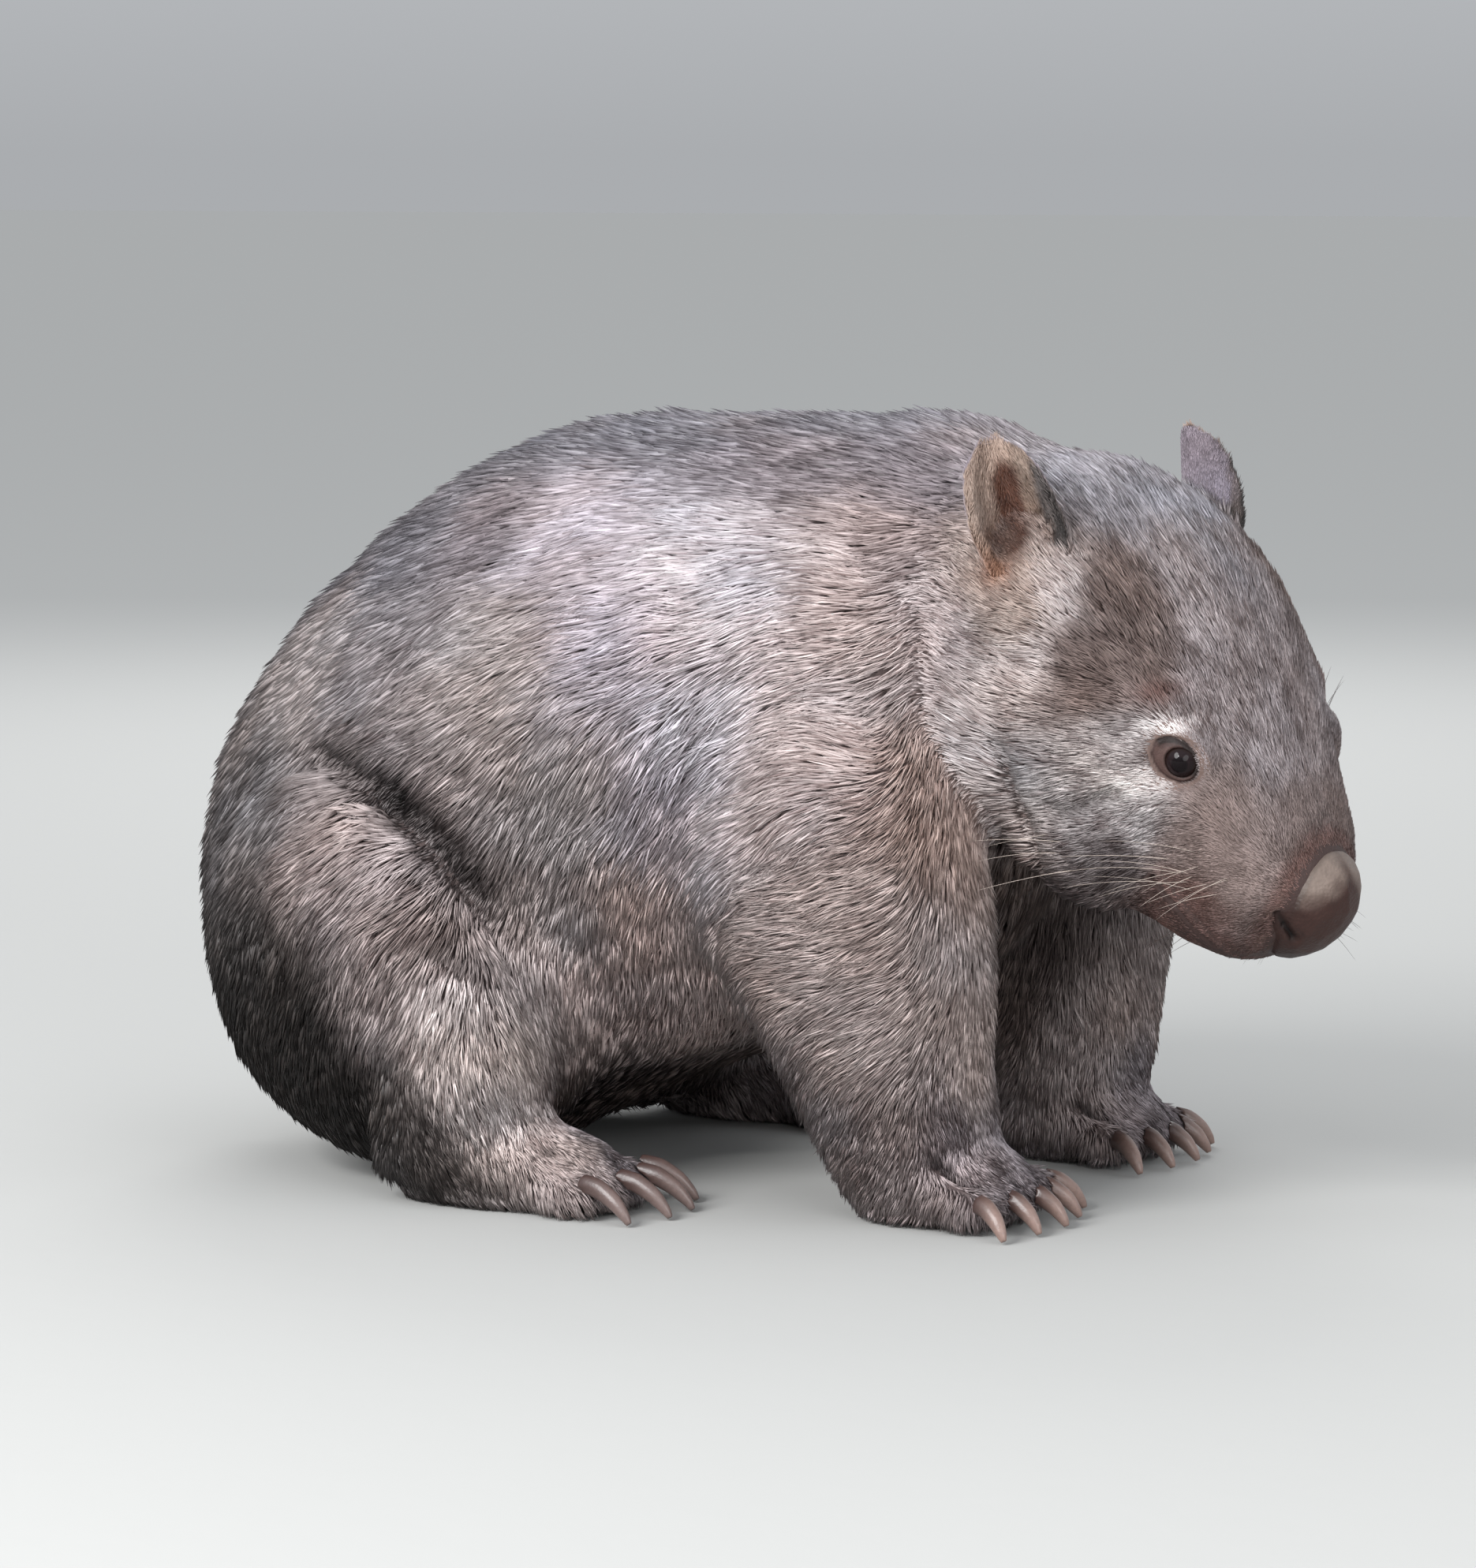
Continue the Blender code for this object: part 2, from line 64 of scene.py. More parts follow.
LIMBS = ("ear", "foreleg", "forefoot", "thigh", "shank", "hindfoot")
FLESH = ["head", "neck", "torso", "tail"] + [f"{limb}_{side}" for limb in LIMBS for side in SIDES]
FILLING = ["nose", "eye_left", "eye_right"]

# The head's frame: x towards the nose tip, y to its left, z to its crown
HEAD_AT = (0.1466, -0.015, 0.286)
HEAD_PITCH = math.radians(45)
HEAD_YAW = math.radians(-15)
HEAD_TURN = Matrix.Rotation(HEAD_YAW, 4, "Z") @ Matrix.Rotation(HEAD_PITCH, 4, "Y")
HEAD = Matrix.Translation(HEAD_AT) @ HEAD_TURN
HEAD_AHEAD = np.array(HEAD_TURN.to_3x3() @ Vector((1, 0, 0)))

# How the flesh's solids are made one surface: vertices this near are one, the solids grow until they
# overlap, and a surface of this grain round them is softened, evened and settled in steps, each of which
# goes this share of the way
MERGE = 0.00001
GROW = 0.0006
SKIN_GRID = 0.0031
SOFTEN_STEPS = 1
EVEN_STEPS = 1
SETTLE_STEPS = 5
EASE = 0.5
# Where it is cut finer: from here on in the head's frame and in the world, and this near to eyes and lips
HEAD_FINE_FROM = -0.045
HEAD_FINE_AFTER = 0.075
EYE_FINE = 0.015
LIP_FINE = 0.006

# The share of its faces that the skin keeps under the coat, and the bareness from which it keeps all
SKIN_SHARE = 0.48
SKIN_SEEN_FROM = 0.02

# The coat stands this share of its hairs' length off the skin
LOFT = 0.29

# How tufts are spread: their number, and the share left out where the skin faces down more than this
TUFTS = 362000
HIDDEN_BELOW = -0.55
HIDDEN_THIN = 0.5
# How wide a tuft is: this much, and more with its length
WIDTH_FROM = 0.00038
WIDTH_GAIN = 0.016
# How a tuft stands: sunk at its root, bent after this share of its length, steep up to there and flat after
ROOT_SUNK = 0.0006
BEND_SHARE = 0.40
ROOT_RISE = 1.5
TIP_RISE = 0.45
FLOOR_GAP = 0.0004
# What tufts and locks draw at random: the least share of a measure, and how much is added at most
TUFT_LONG = (0.82, 0.36)
LOCK_LONG = (0.9, 0.2)
TUFT_STEEP = (0.75, 0.5)
TUFT_HALF = (0.35, 0.3)
TUFT_SHADE = (0.90, 0.20)
# How far locks turn apart, and how far locks and single tufts differ in their share of pale hairs
LOCK_TURN = 0.30
LOCK_PALE = 0.4
TUFT_PALE = 0.19
# Locks form only where the hair is longer than this, and fully from there
LOCK_FROM = (0.005, 0.012)
# How large and how strong the warp of the locks' grid is, in locks, and its seeds
LOCK_WARP = (2.3, 0.6)
LOCK_SEEDS = (11, 12, 13)
# What a tuft's bend has of its tip's pull and paleness, and what its root has of the dark hairs' colour,
# darker as painted shade among the roots
BEND_GATHER = 0.3
BEND_PALE = 0.65
ROOT_SHADE = 0.88
# How far brown and blue-grey patches part from each other
HUE_SWING = np.array((0.045, -0.005, -0.045))
# Soft lumps in what the coat, the nose pad and the lids do: their size, strength and seed
LUMPS = {
    "swirl": (0.030, 0.22, 21),
    "small_swirl": (0.009, 0.20, 22),
    "steep": (0.016, 0.06, 23),
    "patch": (0.022, 0.14, 31),
    "small_patch": (0.007, 0.22, 32),
    "hue": (0.026, 1.0, 33),
    "nose": (0.006, 0.002, 41),
    "lid": (0.003, 0.0004, 42),
}
# The noise repeats after this many lumps
NOISE_CELLS = 32
# A tuft's points are its root, the left and right of its bend, and its tip
TUFT_FACES = ((0, 2, 1), (3, 1, 2), (0, 1, 3), (0, 3, 2))
# Where those points lie on the tuft's own patch of the unwrap, and the patch's size
TUFT_PATCH = ((0.0, -0.5), (-0.5, -0.1), (0.5, -0.1), (0.0, 0.5))
PATCH_SIZE = 0.003
# The charts of a piece's unwrap stand in columns and rows, each with a margin
CHART_GRID = (3, 2)
CHART_MARGIN = 0.01
# What the skin holds for the coat to grow from
COAT_FIELDS = ("lie", "length", "dark", "pale", "share", "bare", "label")
COAT_GROUPS = {
    "torso": ("torso", "tail"),
    "neck": ("neck",),
    "head": ("head",),
    "ear": ("ear_{}",),
    "haunch": ("thigh_{}",),
    "hind": ("shank_{}", "hindfoot_{}"),
    "fore": ("foreleg_{}", "forefoot_{}"),
}
# Pieces that are divided along x, the last in the head's frame
COAT_ZONES = {
    "torso": {"rump": (-1.0, -0.130), "loin": (-0.130, -0.020), "chest": (-0.020, 1.0)},
    "head": {"skull": (-1.0, 0.085), "face": (0.085, 1.0)},
}
# The skin can lie this far off the node that it belongs to
LABEL_REACH = 0.004

# The skin under the coat has this share of the dark hairs' colour, darker as painted shade in the gaps
# between tufts
SKIN_SHADE = 0.85
# Colours of bare skin, horn and eye as seen, 0 to 255; some are painted light and shade, as marked
EAR_SKIN = (68, 40, 30)
SOLE_SKIN = (74, 62, 58)
MUZZLE_SKIN = (96, 76, 70)
LIP_SKIN = (54, 38, 35)
# The nose pad's upper and lower colours: partly its leather's own, mostly painted light where it faces up and
# painted shade where it faces down
NOSE_LIT_TOP = (122, 108, 100)
NOSE_SHADED_LOW = (58, 39, 35)
# Painted shade deep in the nostrils
NOSTRIL_SHADE = (12, 8, 8)
CLAW_ROOT = (62, 46, 43)
CLAW_TIPS = {"fore": (130, 108, 100), "hind": (104, 88, 84)}
PUPIL = (16, 11, 13)
EYE_RIM = (30, 20, 18)

# The dark skin of the lips and under the nose, in the head's frame: its upper edge, which slopes, and its
# rear end, with how soft they are, and how much shorter its hair is
LIP_TOP = -0.036
LIP_SOFT = 0.006
LIP_FRONT = 0.175
LIP_SLOPE = 0.35
LIP_REAR = 0.142
LIP_REAR_SOFT = 0.012
LIP_SHORT = 0.35

# The nose pad, and the lump in the head's frame that fills all but a dimple of each nostril
NOSE_GROW = 0.0006
NOSE_FILL = ((0.184, 0.0, -0.015), (0.0212, 0.0250, 0.0280))
NOSE_GRID = 0.0008
NOSE_SOFTEN = 4
# Where the pad turns from painted shade to painted light: height in the head's frame, and a share of how far
# aside it lies
NOSE_SHADE_SPAN = (0.009, 0.018)
NOSE_SHADE_ASIDE = 0.75
# The way the pad's front faces in the head's frame, and how dark its painted shade is where it turns away
# from that
NOSE_FRONT = Vector((0.85, 0.0, 0.45))
NOSE_EDGE = (0.25, 0.85)
NOSE_EDGE_SHADE = 0.55
# The left nostril's slit in the head's frame, with a spur inwards, its depth and half-width
NOSTRIL = (
    (0.191, 0.0255, -0.0150), (0.196, 0.0215, -0.0175), (0.187, 0.0180, -0.0165),
    (0.196, 0.0215, -0.0175), (0.200, 0.0165, -0.0205),
)
NOSTRIL_DEEP = 0.0035
NOSTRIL_HALF = 0.0019
# How deep in it the skin turns bare, and dark with painted shade
NOSTRIL_BARE = (0.1, 0.3)
NOSTRIL_DARK = (0.2, 0.7)

# Whiskers on the left, in the head's frame: root, way, length, number, spread, colour
WHISKERS = (
    ((0.164, 0.044, -0.018), (-0.25, 0.85, -0.35), 0.036, 7, 0.010, "pale"),
    ((0.150, 0.052, -0.022), (-0.60, 0.70, -0.30), 0.052, 7, 0.010, "pale"),
    ((0.112, 0.072, -0.048), (-0.55, 0.40, -0.70), 0.062, 4, 0.010, "pale"),
    ((0.110, 0.056, 0.027), (-0.50, 0.50, 0.55), 0.022, 4, 0.005, "dark"),
    ((0.165, 0.026, -0.062), (-0.10, 0.50, -0.75), 0.018, 5, 0.008, "dark"),
    ((0.190, 0.026, -0.024), (0.30, 0.80, -0.10), 0.020, 7, 0.007, "dark"),
)
WHISKER_HAIRS = {"pale": (182, 168, 158), "dark": (58, 44, 38)}
WHISKER_SEED = 5
WHISKER_SIDES = 5
WHISKER_STEPS = 9
WHISKER_RADIUS = 0.00013
WHISKER_TAPER = 0.7
WHISKER_SUNK = 0.001
# What whiskers draw at random: how far they stray, and shares of their length, droop and thickness
WHISKER_STRAY = 0.16
WHISKER_LONG = (0.75, 1.15)
WHISKER_DROOP = (0.08, 0.22)
WHISKER_THICK = (0.8, 1.2)

# How often each claw is cut and smoothed
CLAW_CUTS = 2
CLAW_SMOOTH_STEPS = 2

# The camera, and lamps: name, place, size, power
CAMERA_LOOK = (-0.0332, 0.0, 0.1794)
CAMERA_AWAY = 2.8
CAMERA_LENS = 138
CAMERA_SENSOR = 36
# The soft light all round: its share at the horizon and higher up, and where it is full
SKY_SHARES = (0.394, 1.0)
SKY_FULL = 0.35
STUDIO_LIGHTS = (
    ("key", (-0.9, -2.6, 1.7), 1.6, 105),
    ("fill", (2.0, -2.0, 0.9), 1.6, 26),
    ("back", (-1.0, 2.2, 1.8), 1.6, 30),
    ("spark", (-0.08, -2.35, 1.45), 0.26, 11),
)

# Fur tones: the dark and the pale hairs' colours as seen, 0 to 255, and how many are pale; some are painted
# shade, as marked
TONES = {
    "back": ((86, 81, 86), (150, 146, 152), 0.48),
    "nape": ((72, 65, 68), (164, 154, 160), 0.48),
    "yoke": ((96, 82, 81), (194, 178, 177), 0.50),
    "hip": ((88, 80, 82), (188, 181, 184), 0.48),
    "saddle": ((136, 126, 130), (222, 213, 222), 0.52),
    "flank": ((137, 126, 124), (192, 182, 181), 0.49),
    "bright": ((147, 135, 138), (217, 211, 215), 0.62),
    "shoulder": ((122, 105, 103), (222, 210, 209), 0.52),
    "crease": ((120, 99, 92), (218, 195, 187), 0.44),
    "low": ((176, 156, 152), (234, 215, 211), 0.42),
    # Partly the coat's own darker brown underneath, partly painted shade on the chest, belly and throat
    "belly": ((72, 60, 57), (146, 130, 124), 0.30),
    "rump": ((60, 54, 54), (169, 162, 163), 0.38),
    # The next two tones are painted shade: low at the rear, under the body, near the floor and at the ears'
    # front edges
    "under": ((27, 23, 22), (67, 60, 58), 0.25),
    "painted_shade": ((41, 36, 35), (108, 100, 98), 0.32),
    "thigh": ((77, 66, 65), (184, 173, 173), 0.46),
    "haunch": ((98, 84, 82), (222, 206, 204), 0.50),
    "shank": ((116, 101, 98), (252, 240, 237), 0.64),
    "foreleg": ((131, 116, 113), (208, 194, 191), 0.50),
    "wrist": ((88, 75, 74), (190, 178, 178), 0.40),
    "paw": ((70, 58, 59), (195, 184, 189), 0.40),
    "cheek": ((118, 102, 99), (228, 218, 216), 0.52),
    "jowl": ((99, 87, 87), (219, 213, 213), 0.52),
    "jaw": ((53, 43, 43), (129, 120, 121), 0.36),
    "forehead": ((66, 51, 47), (140, 121, 115), 0.40),
    "front": ((90, 78, 77), (190, 180, 182), 0.45),
    "crown": ((87, 81, 84), (196, 190, 197), 0.46),
    "brow": ((183, 165, 163), (254, 254, 253), 0.75),
    "snout": ((94, 80, 76), (155, 138, 134), 0.46),
    "lip": ((76, 54, 49), (132, 102, 96), 0.38),
    "ear_base": ((110, 93, 86), (196, 180, 172), 0.46),
    "ear_back": ((104, 95, 102), (166, 155, 166), 0.46),
    "ear_rim": ((130, 109, 97), (185, 163, 150), 0.50),
    "ear_cup": ((54, 29, 21), (100, 64, 48), 0.34),
    "ear_front": ((86, 71, 62), (148, 130, 118), 0.46),
    "ear_rust": ((108, 68, 49), (158, 114, 88), 0.42),
    "ear_root": ((96, 70, 58), (166, 138, 122), 0.44),
}

# The body's coat on the left, mirrored on the right: place, lie, hair length in mm, tone; the darkest tones,
# low at the rear and under the body, are painted shade
BODY_COAT = (
    ((0.047, 0.020, 0.345), (-1.0, 0.05, -0.05), 22, "back"),
    ((0.047, 0.060, 0.338), (-1.0, 0.10, -0.10), 22, "nape"),
    ((0.022, 0.066, 0.334), (-1.0, 0.12, -0.12), 22, "nape"),
    ((-0.031, 0.036, 0.348), (-1.0, 0.15, -0.10), 23, "back"),
    ((-0.097, 0.048, 0.340), (-1.0, 0.20, -0.25), 23, "back"),
    ((-0.060, 0.100, 0.310), (-0.9, 0.25, -0.35), 23, "saddle"),
    ((-0.146, 0.081, 0.304), (-0.85, 0.20, -0.50), 23, "back"),
    ((-0.099, 0.092, 0.313), (-0.88, 0.22, -0.42), 23, "nape"),
    ((-0.146, 0.125, 0.252), (-0.72, 0.10, -0.68), 22, "hip"),
    ((-0.189, 0.108, 0.246), (-0.60, 0.10, -0.80), 22, "flank"),
    ((-0.190, 0.030, 0.285), (-0.85, 0.05, -0.50), 22, "back"),
    ((-0.240, 0.030, 0.225), (-0.45, 0.05, -0.90), 21, "rump"),
    ((-0.205, 0.140, 0.183), (-0.35, 0.10, -0.95), 20, "rump"),
    ((-0.262, 0.060, 0.150), (-0.10, 0.05, -1.00), 19, "rump"),
    ((-0.275, 0.010, 0.120), (0.00, 0.00, -1.00), 18, "rump"),
    ((-0.255, 0.060, 0.070), (0.20, 0.05, -1.00), 15, "under"),
    ((-0.220, 0.100, 0.025), (0.50, 0.00, -0.80), 12, "under"),
    ((-0.170, 0.050, 0.002), (1.00, 0.00, 0.00), 12, "under"),
    ((-0.084, 0.137, 0.252), (-0.80, 0.05, -0.60), 23, "flank"),
    ((-0.023, 0.133, 0.261), (-0.85, 0.05, -0.50), 23, "saddle"),
    ((0.020, 0.100, 0.300), (-0.95, 0.10, -0.30), 23, "bright"),
    ((0.031, 0.117, 0.275), (-0.90, 0.00, -0.40), 23, "bright"),
    ((0.025, 0.135, 0.225), (-0.75, 0.00, -0.65), 23, "bright"),
    ((0.030, 0.140, 0.190), (-0.65, 0.00, -0.75), 22, "bright"),
    ((0.070, 0.102, 0.290), (-1.00, 0.00, -0.15), 21, "shoulder"),
    ((0.085, 0.090, 0.300), (-0.97, 0.03, -0.22), 20, "yoke"),
    ((0.095, 0.060, 0.325), (-1.00, 0.10, 0.05), 19, "nape"),
    ((0.103, 0.099, 0.263), (-0.80, 0.00, -0.60), 19, "shoulder"),
    ((0.113, 0.112, 0.209), (-0.40, 0.00, -0.90), 16, "crease"),
    ((0.124, 0.118, 0.172), (-0.40, 0.00, -0.90), 15, "crease"),
    ((-0.048, 0.147, 0.191), (-0.55, 0.00, -0.85), 22, "flank"),
    ((0.003, 0.139, 0.192), (-0.55, 0.00, -0.85), 22, "saddle"),
    ((0.051, 0.144, 0.195), (-0.75, 0.00, -0.65), 21, "shoulder"),
    ((0.084, 0.132, 0.212), (-1.00, 0.00, -0.20), 20, "shoulder"),
    ((-0.030, 0.128, 0.125), (-0.30, -0.10, -1.00), 20, "low"),
    ((0.010, 0.130, 0.135), (-0.35, -0.05, -1.00), 20, "flank"),
    ((-0.021, 0.089, 0.086), (-0.35, -0.30, -0.90), 18, "low"),
    ((0.030, 0.095, 0.090), (-0.50, -0.30, -0.80), 18, "belly"),
    ((-0.060, 0.030, 0.045), (-1.00, 0.00, 0.00), 15, "belly"),
    ((0.040, 0.020, 0.075), (-1.00, 0.00, -0.20), 16, "belly"),
    ((0.110, 0.020, 0.150), (-0.20, 0.00, -1.00), 17, "belly"),
    ((0.135, 0.040, 0.200), (-0.10, 0.10, -1.00), 17, "belly"),
    ((-0.153, 0.148, 0.194), (-0.80, 0.05, -0.60), 20, "thigh"),
    ((-0.149, 0.160, 0.165), (-0.75, 0.00, -0.65), 20, "haunch"),
    ((-0.128, 0.164, 0.140), (-0.65, 0.00, -0.75), 20, "haunch"),
    ((-0.112, 0.161, 0.148), (-0.55, 0.00, -0.80), 20, "haunch"),
    ((-0.095, 0.163, 0.122), (-0.30, 0.00, -1.00), 18, "haunch"),
    ((-0.046, 0.150, 0.118), (-0.25, 0.00, -1.00), 19, "flank"),
    ((-0.133, 0.167, 0.100), (-0.30, 0.00, -1.00), 19, "haunch"),
    ((-0.036, 0.140, 0.095), (-0.20, -0.05, -1.00), 18, "low"),
    ((-0.095, 0.170, 0.098), (0.00, 0.00, -1.00), 17, "shank"),
    ((-0.175, 0.165, 0.092), (-0.20, 0.00, -1.00), 17, "under"),
    ((-0.203, 0.158, 0.110), (-0.20, 0.00, -1.00), 17, "painted_shade"),
    ((-0.179, 0.162, 0.070), (-0.10, 0.00, -1.00), 16, "under"),
    ((-0.140, 0.165, 0.050), (0.00, 0.00, -1.00), 16, "painted_shade"),
    ((-0.215, 0.130, 0.080), (-0.10, 0.00, -1.00), 16, "under"),
    ((-0.160, 0.160, 0.040), (0.15, 0.00, -1.00), 14, "under"),
    ((-0.085, 0.172, 0.072), (0.20, 0.00, -1.00), 17, "shank"),
    ((-0.068, 0.171, 0.055), (0.35, 0.00, -1.00), 15, "shank"),
    ((-0.075, 0.100, 0.050), (-0.20, -0.20, -1.00), 14, "belly"),
    ((-0.045, 0.150, 0.046), (0.60, 0.00, -0.80), 11, "foreleg"),
    ((-0.115, 0.165, 0.025), (0.50, 0.00, -0.80), 11, "painted_shade"),
    ((-0.060, 0.137, 0.038), (1.00, 0.00, -0.35), 8, "paw"),
    ((-0.025, 0.137, 0.022), (1.00, 0.00, -0.45), 6, "paw"),
    ((0.061, 0.150, 0.133), (-0.95, 0.00, -0.35), 20, "foreleg"),
    ((0.100, 0.142, 0.150), (-0.95, 0.00, -0.25), 19, "foreleg"),
    ((0.107, 0.142, 0.125), (-0.90, 0.00, -0.40), 18, "foreleg"),
    ((0.124, 0.130, 0.127), (-0.45, 0.00, -0.85), 16, "foreleg"),
    ((0.096, 0.142, 0.082), (-0.85, 0.00, -0.55), 16, "foreleg"),
    ((0.132, 0.113, 0.074), (0.00, 0.15, -1.00), 13, "foreleg"),
    ((0.060, 0.120, 0.070), (-0.55, 0.00, -0.85), 16, "wrist"),
    ((0.100, 0.138, 0.045), (-0.30, 0.00, -1.00), 12, "wrist"),
    ((0.128, 0.120, 0.042), (0.30, 0.00, -1.00), 10, "paw"),
    ((0.136, 0.094, 0.040), (0.80, 0.00, -0.60), 8, "paw"),
    ((0.148, 0.100, 0.024), (0.90, 0.00, -0.50), 6, "paw"),
    ((0.090, 0.055, 0.100), (-0.30, 0.00, -1.00), 15, "belly"),
    ((0.120, 0.062, 0.070), (0.00, 0.00, -1.00), 13, "foreleg"),
    ((0.075, 0.090, 0.020), (-0.20, 0.00, -1.00), 8, "paw"),
)

# The head's coat, in the head's own frame
HEAD_COAT = (
    ((-0.020, 0.020, 0.044), (-1.0, 0.05, 0.0), 14, "crown"),
    ((0.015, 0.025, 0.050), (-1.0, 0.05, 0.0), 12, "crown"),
    ((0.052, 0.052, 0.041), (-1.0, 0.20, 0.0), 11, "forehead"),
    ((0.067, 0.077, 0.018), (-0.88, 0.0, -0.35), 10, "forehead"),
    ((0.051, 0.065, 0.038), (-1.0, 0.10, -0.10), 11, "forehead"),
    ((0.060, 0.023, 0.053), (-1.0, 0.05, 0.0), 11, "front"),
    ((0.045, 0.015, 0.056), (-1.0, 0.05, 0.0), 11, "front"),
    ((0.080, 0.015, 0.050), (-1.0, 0.05, 0.0), 9, "front"),
    ((0.106, 0.050, 0.032), (-0.9, 0.20, 0.3), 6, "front"),
    ((0.094, 0.058, 0.028), (-1.0, 0.20, 0.2), 7, "forehead"),
    ((0.082, 0.074, 0.008), (-0.88, 0.0, -0.48), 9, "forehead"),
    ((0.094, 0.068, -0.004), (-0.75, 0.0, -0.65), 7, "jowl"),
    ((0.054, 0.088, -0.005), (-0.81, 0.0, -0.58), 12, "cheek"),
    ((0.030, 0.082, 0.010), (-0.83, 0.0, -0.55), 11, "ear_base"),
    ((0.009, 0.084, 0.013), (-0.90, 0.20, -0.20), 8, "ear_base"),
    ((0.038, 0.074, 0.028), (-0.95, 0.20, -0.10), 9, "cheek"),
    ((0.010, 0.088, -0.030), (-0.85, 0.0, -0.50), 15, "shoulder"),
    ((0.062, 0.092, -0.045), (-0.93, 0.0, -0.37), 16, "cheek"),
    ((0.100, 0.075, -0.068), (-0.60, 0.0, -0.80), 14, "cheek"),
    ((0.098, 0.080, -0.035), (-0.76, 0.0, -0.65), 11, "jowl"),
    ((0.112, 0.067, -0.014), (-0.62, 0.0, -0.79), 7, "jowl"),
    ((0.127, 0.061, -0.022), (-0.50, 0.0, -0.86), 7, "jowl"),
    ((0.130, 0.062, -0.040), (-0.66, 0.0, -0.75), 8, "jaw"),
    ((0.120, 0.060, -0.068), (-0.66, 0.0, -0.75), 10, "jaw"),
    ((0.148, 0.053, -0.017), (-0.75, 0.10, -0.65), 5.5, "snout"),
    ((0.146, 0.043, 0.011), (-0.95, 0.10, -0.10), 5.5, "snout"),
    ((0.130, 0.050, 0.004), (-1.0, 0.10, 0.0), 6, "snout"),
    ((0.137, 0.017, 0.029), (-1.0, 0.05, 0.10), 7, "front"),
    ((0.112, 0.020, 0.038), (-1.0, 0.05, 0.05), 8, "front"),
    ((0.165, 0.012, 0.018), (-1.0, 0.05, 0.30), 4.5, "snout"),
    ((0.168, 0.040, -0.012), (-0.8, 0.30, -0.4), 3.6, "snout"),
    ((0.165, 0.042, -0.030), (-0.75, 0.10, -0.60), 4, "lip"),
    ((0.178, 0.025, -0.050), (-1.0, 0.10, -0.3), 3.4, "lip"),
    ((0.168, 0.000, -0.066), (-1.0, 0.00, 0.0), 5, "lip"),
    ((0.130, 0.020, -0.078), (-1.0, 0.00, 0.0), 9, "jaw"),
    ((0.090, 0.020, -0.088), (-1.0, 0.00, 0.0), 12, "jaw"),
    ((0.030, 0.030, -0.092), (-1.0, 0.00, 0.0), 15, "belly"),
)

# The ear, in the head's frame, and its hair
EAR_UP = Vector((-0.77, 0.36, 0.53)).normalized()
EAR_OPENS = Vector((0.50, 0.75, 0.35))
EAR_HAIR = 0.0036
EAR_RIM_HAIR = 0.0050
EAR_EDGE = 0.25
EAR_DEPTH = 0.0006
# The ear's red-brown hollow: how far ahead of the ear's middle, its half-width, its top and where it shows
EAR_HOLLOW = (0.0003, 0.0066)
EAR_HOLLOW_TOP = (0.000, 0.018)
EAR_CUP = (0.15, 0.60)
# The ear's root: its top, where it ends towards the front, and how far it has its own tone
EAR_ROOT_TOP = (-0.020, -0.004)
EAR_ROOT_FRONT = (0.002, 0.008)
EAR_ROOT_SHARE = 0.7
# Where the cup darkens ahead of its hollow, and then where painted shade lies along its front edge, below
# this height
EAR_FRONT = (0.003, 0.009)
EAR_FRONT_SHARE = 0.85
EAR_EDGE_SHADE = (0.0105, 0.0145)
EAR_EDGE_SHADE_TOP = (0.004, 0.014)
# How far the cup's hair turns in towards its hollow
EAR_INWARD = 0.55
# Tones at the ear's root, in the head's frame: middle, reach, share; the hair there is shorter too
EAR_PATCH_SHORT = 0.5
EAR_PATCHES = (
    ("ear_rust", (0.008, 0.084, 0.013), 0.0085, 0.80),
    ("ear_cup", (-0.008, 0.070, 0.027), 0.0062, 0.92),
    ("ear_cup", (-0.001, 0.071, 0.028), 0.0062, 0.92),
    ("ear_cup", (-0.005, 0.077, 0.020), 0.0055, 0.85),
    ("ear_cup", (0.004, 0.076, 0.023), 0.0062, 0.92),
    # Painted shadow between the ear's front edge and the head
    ("under", (0.014, 0.069, 0.045), 0.0060, 0.85),
)

# Eyes: as the solids set them, and the opening between the lids
EYE_FACES = Vector((0.45, 0.88, 0.12)).normalized()
EYE_OPEN = (0.0067, 0.0060)
# The lids' height over the eye's middle, at distances past the opening's edge
LID_PAST = (-0.0009, 0.0000, 0.0006, 0.0014, 0.0028, 0.0042, 0.0065, 0.0095)
LID_HEIGHT = (0.0010, 0.0040, 0.0056, 0.0059, 0.0046, 0.0042, 0.0045, 0.0035)
# Where the lids pass into the face, and how far round the eye its looks are worked out
LID_REACH = (0.0050, 0.0110)
LID_SPACE = 0.024
# The line round both lids: its middle ahead of and above the eye's, and its half-widths
LID_LINE_AT = (-0.0025, -0.0010)
LID_LINE = (0.0113, 0.0090)
LID_LINE_DEEP = 0.0009
LID_LINE_HALF = 0.0007
# Bare skin round the eye: colour, the lower lid (-1), the upper (1) or both (0), and where it starts and
# ends, measured outwards from that line
EYE_RINGS = (
    ((106, 88, 82), 0, -0.0120, 0.0060),
    ((73, 54, 50), 0, -0.0120, -0.0004),
    ((58, 41, 38), 1, -0.0036, 0.0008),
    ((30, 20, 18), 1, -0.0020, 0.0007),
    ((56, 39, 36), -1, -0.0008, 0.0003),
)
EYE_RING_SOFT = 0.0004
EYE_PART_SOFT = 0.002
# The lids' dark edge, and where bare skin ends past that line
EYE_EDGE_SKIN = (26, 18, 17)
EYE_EDGE = (0.0002, 0.0009)
LID_BARE = (0.0000, 0.0018)
# Thinner coat past the opening, and the share of its length that the hair has at the lids
EYE_THIN = (0.0040, 0.0140)
EYE_SHORT = 0.35
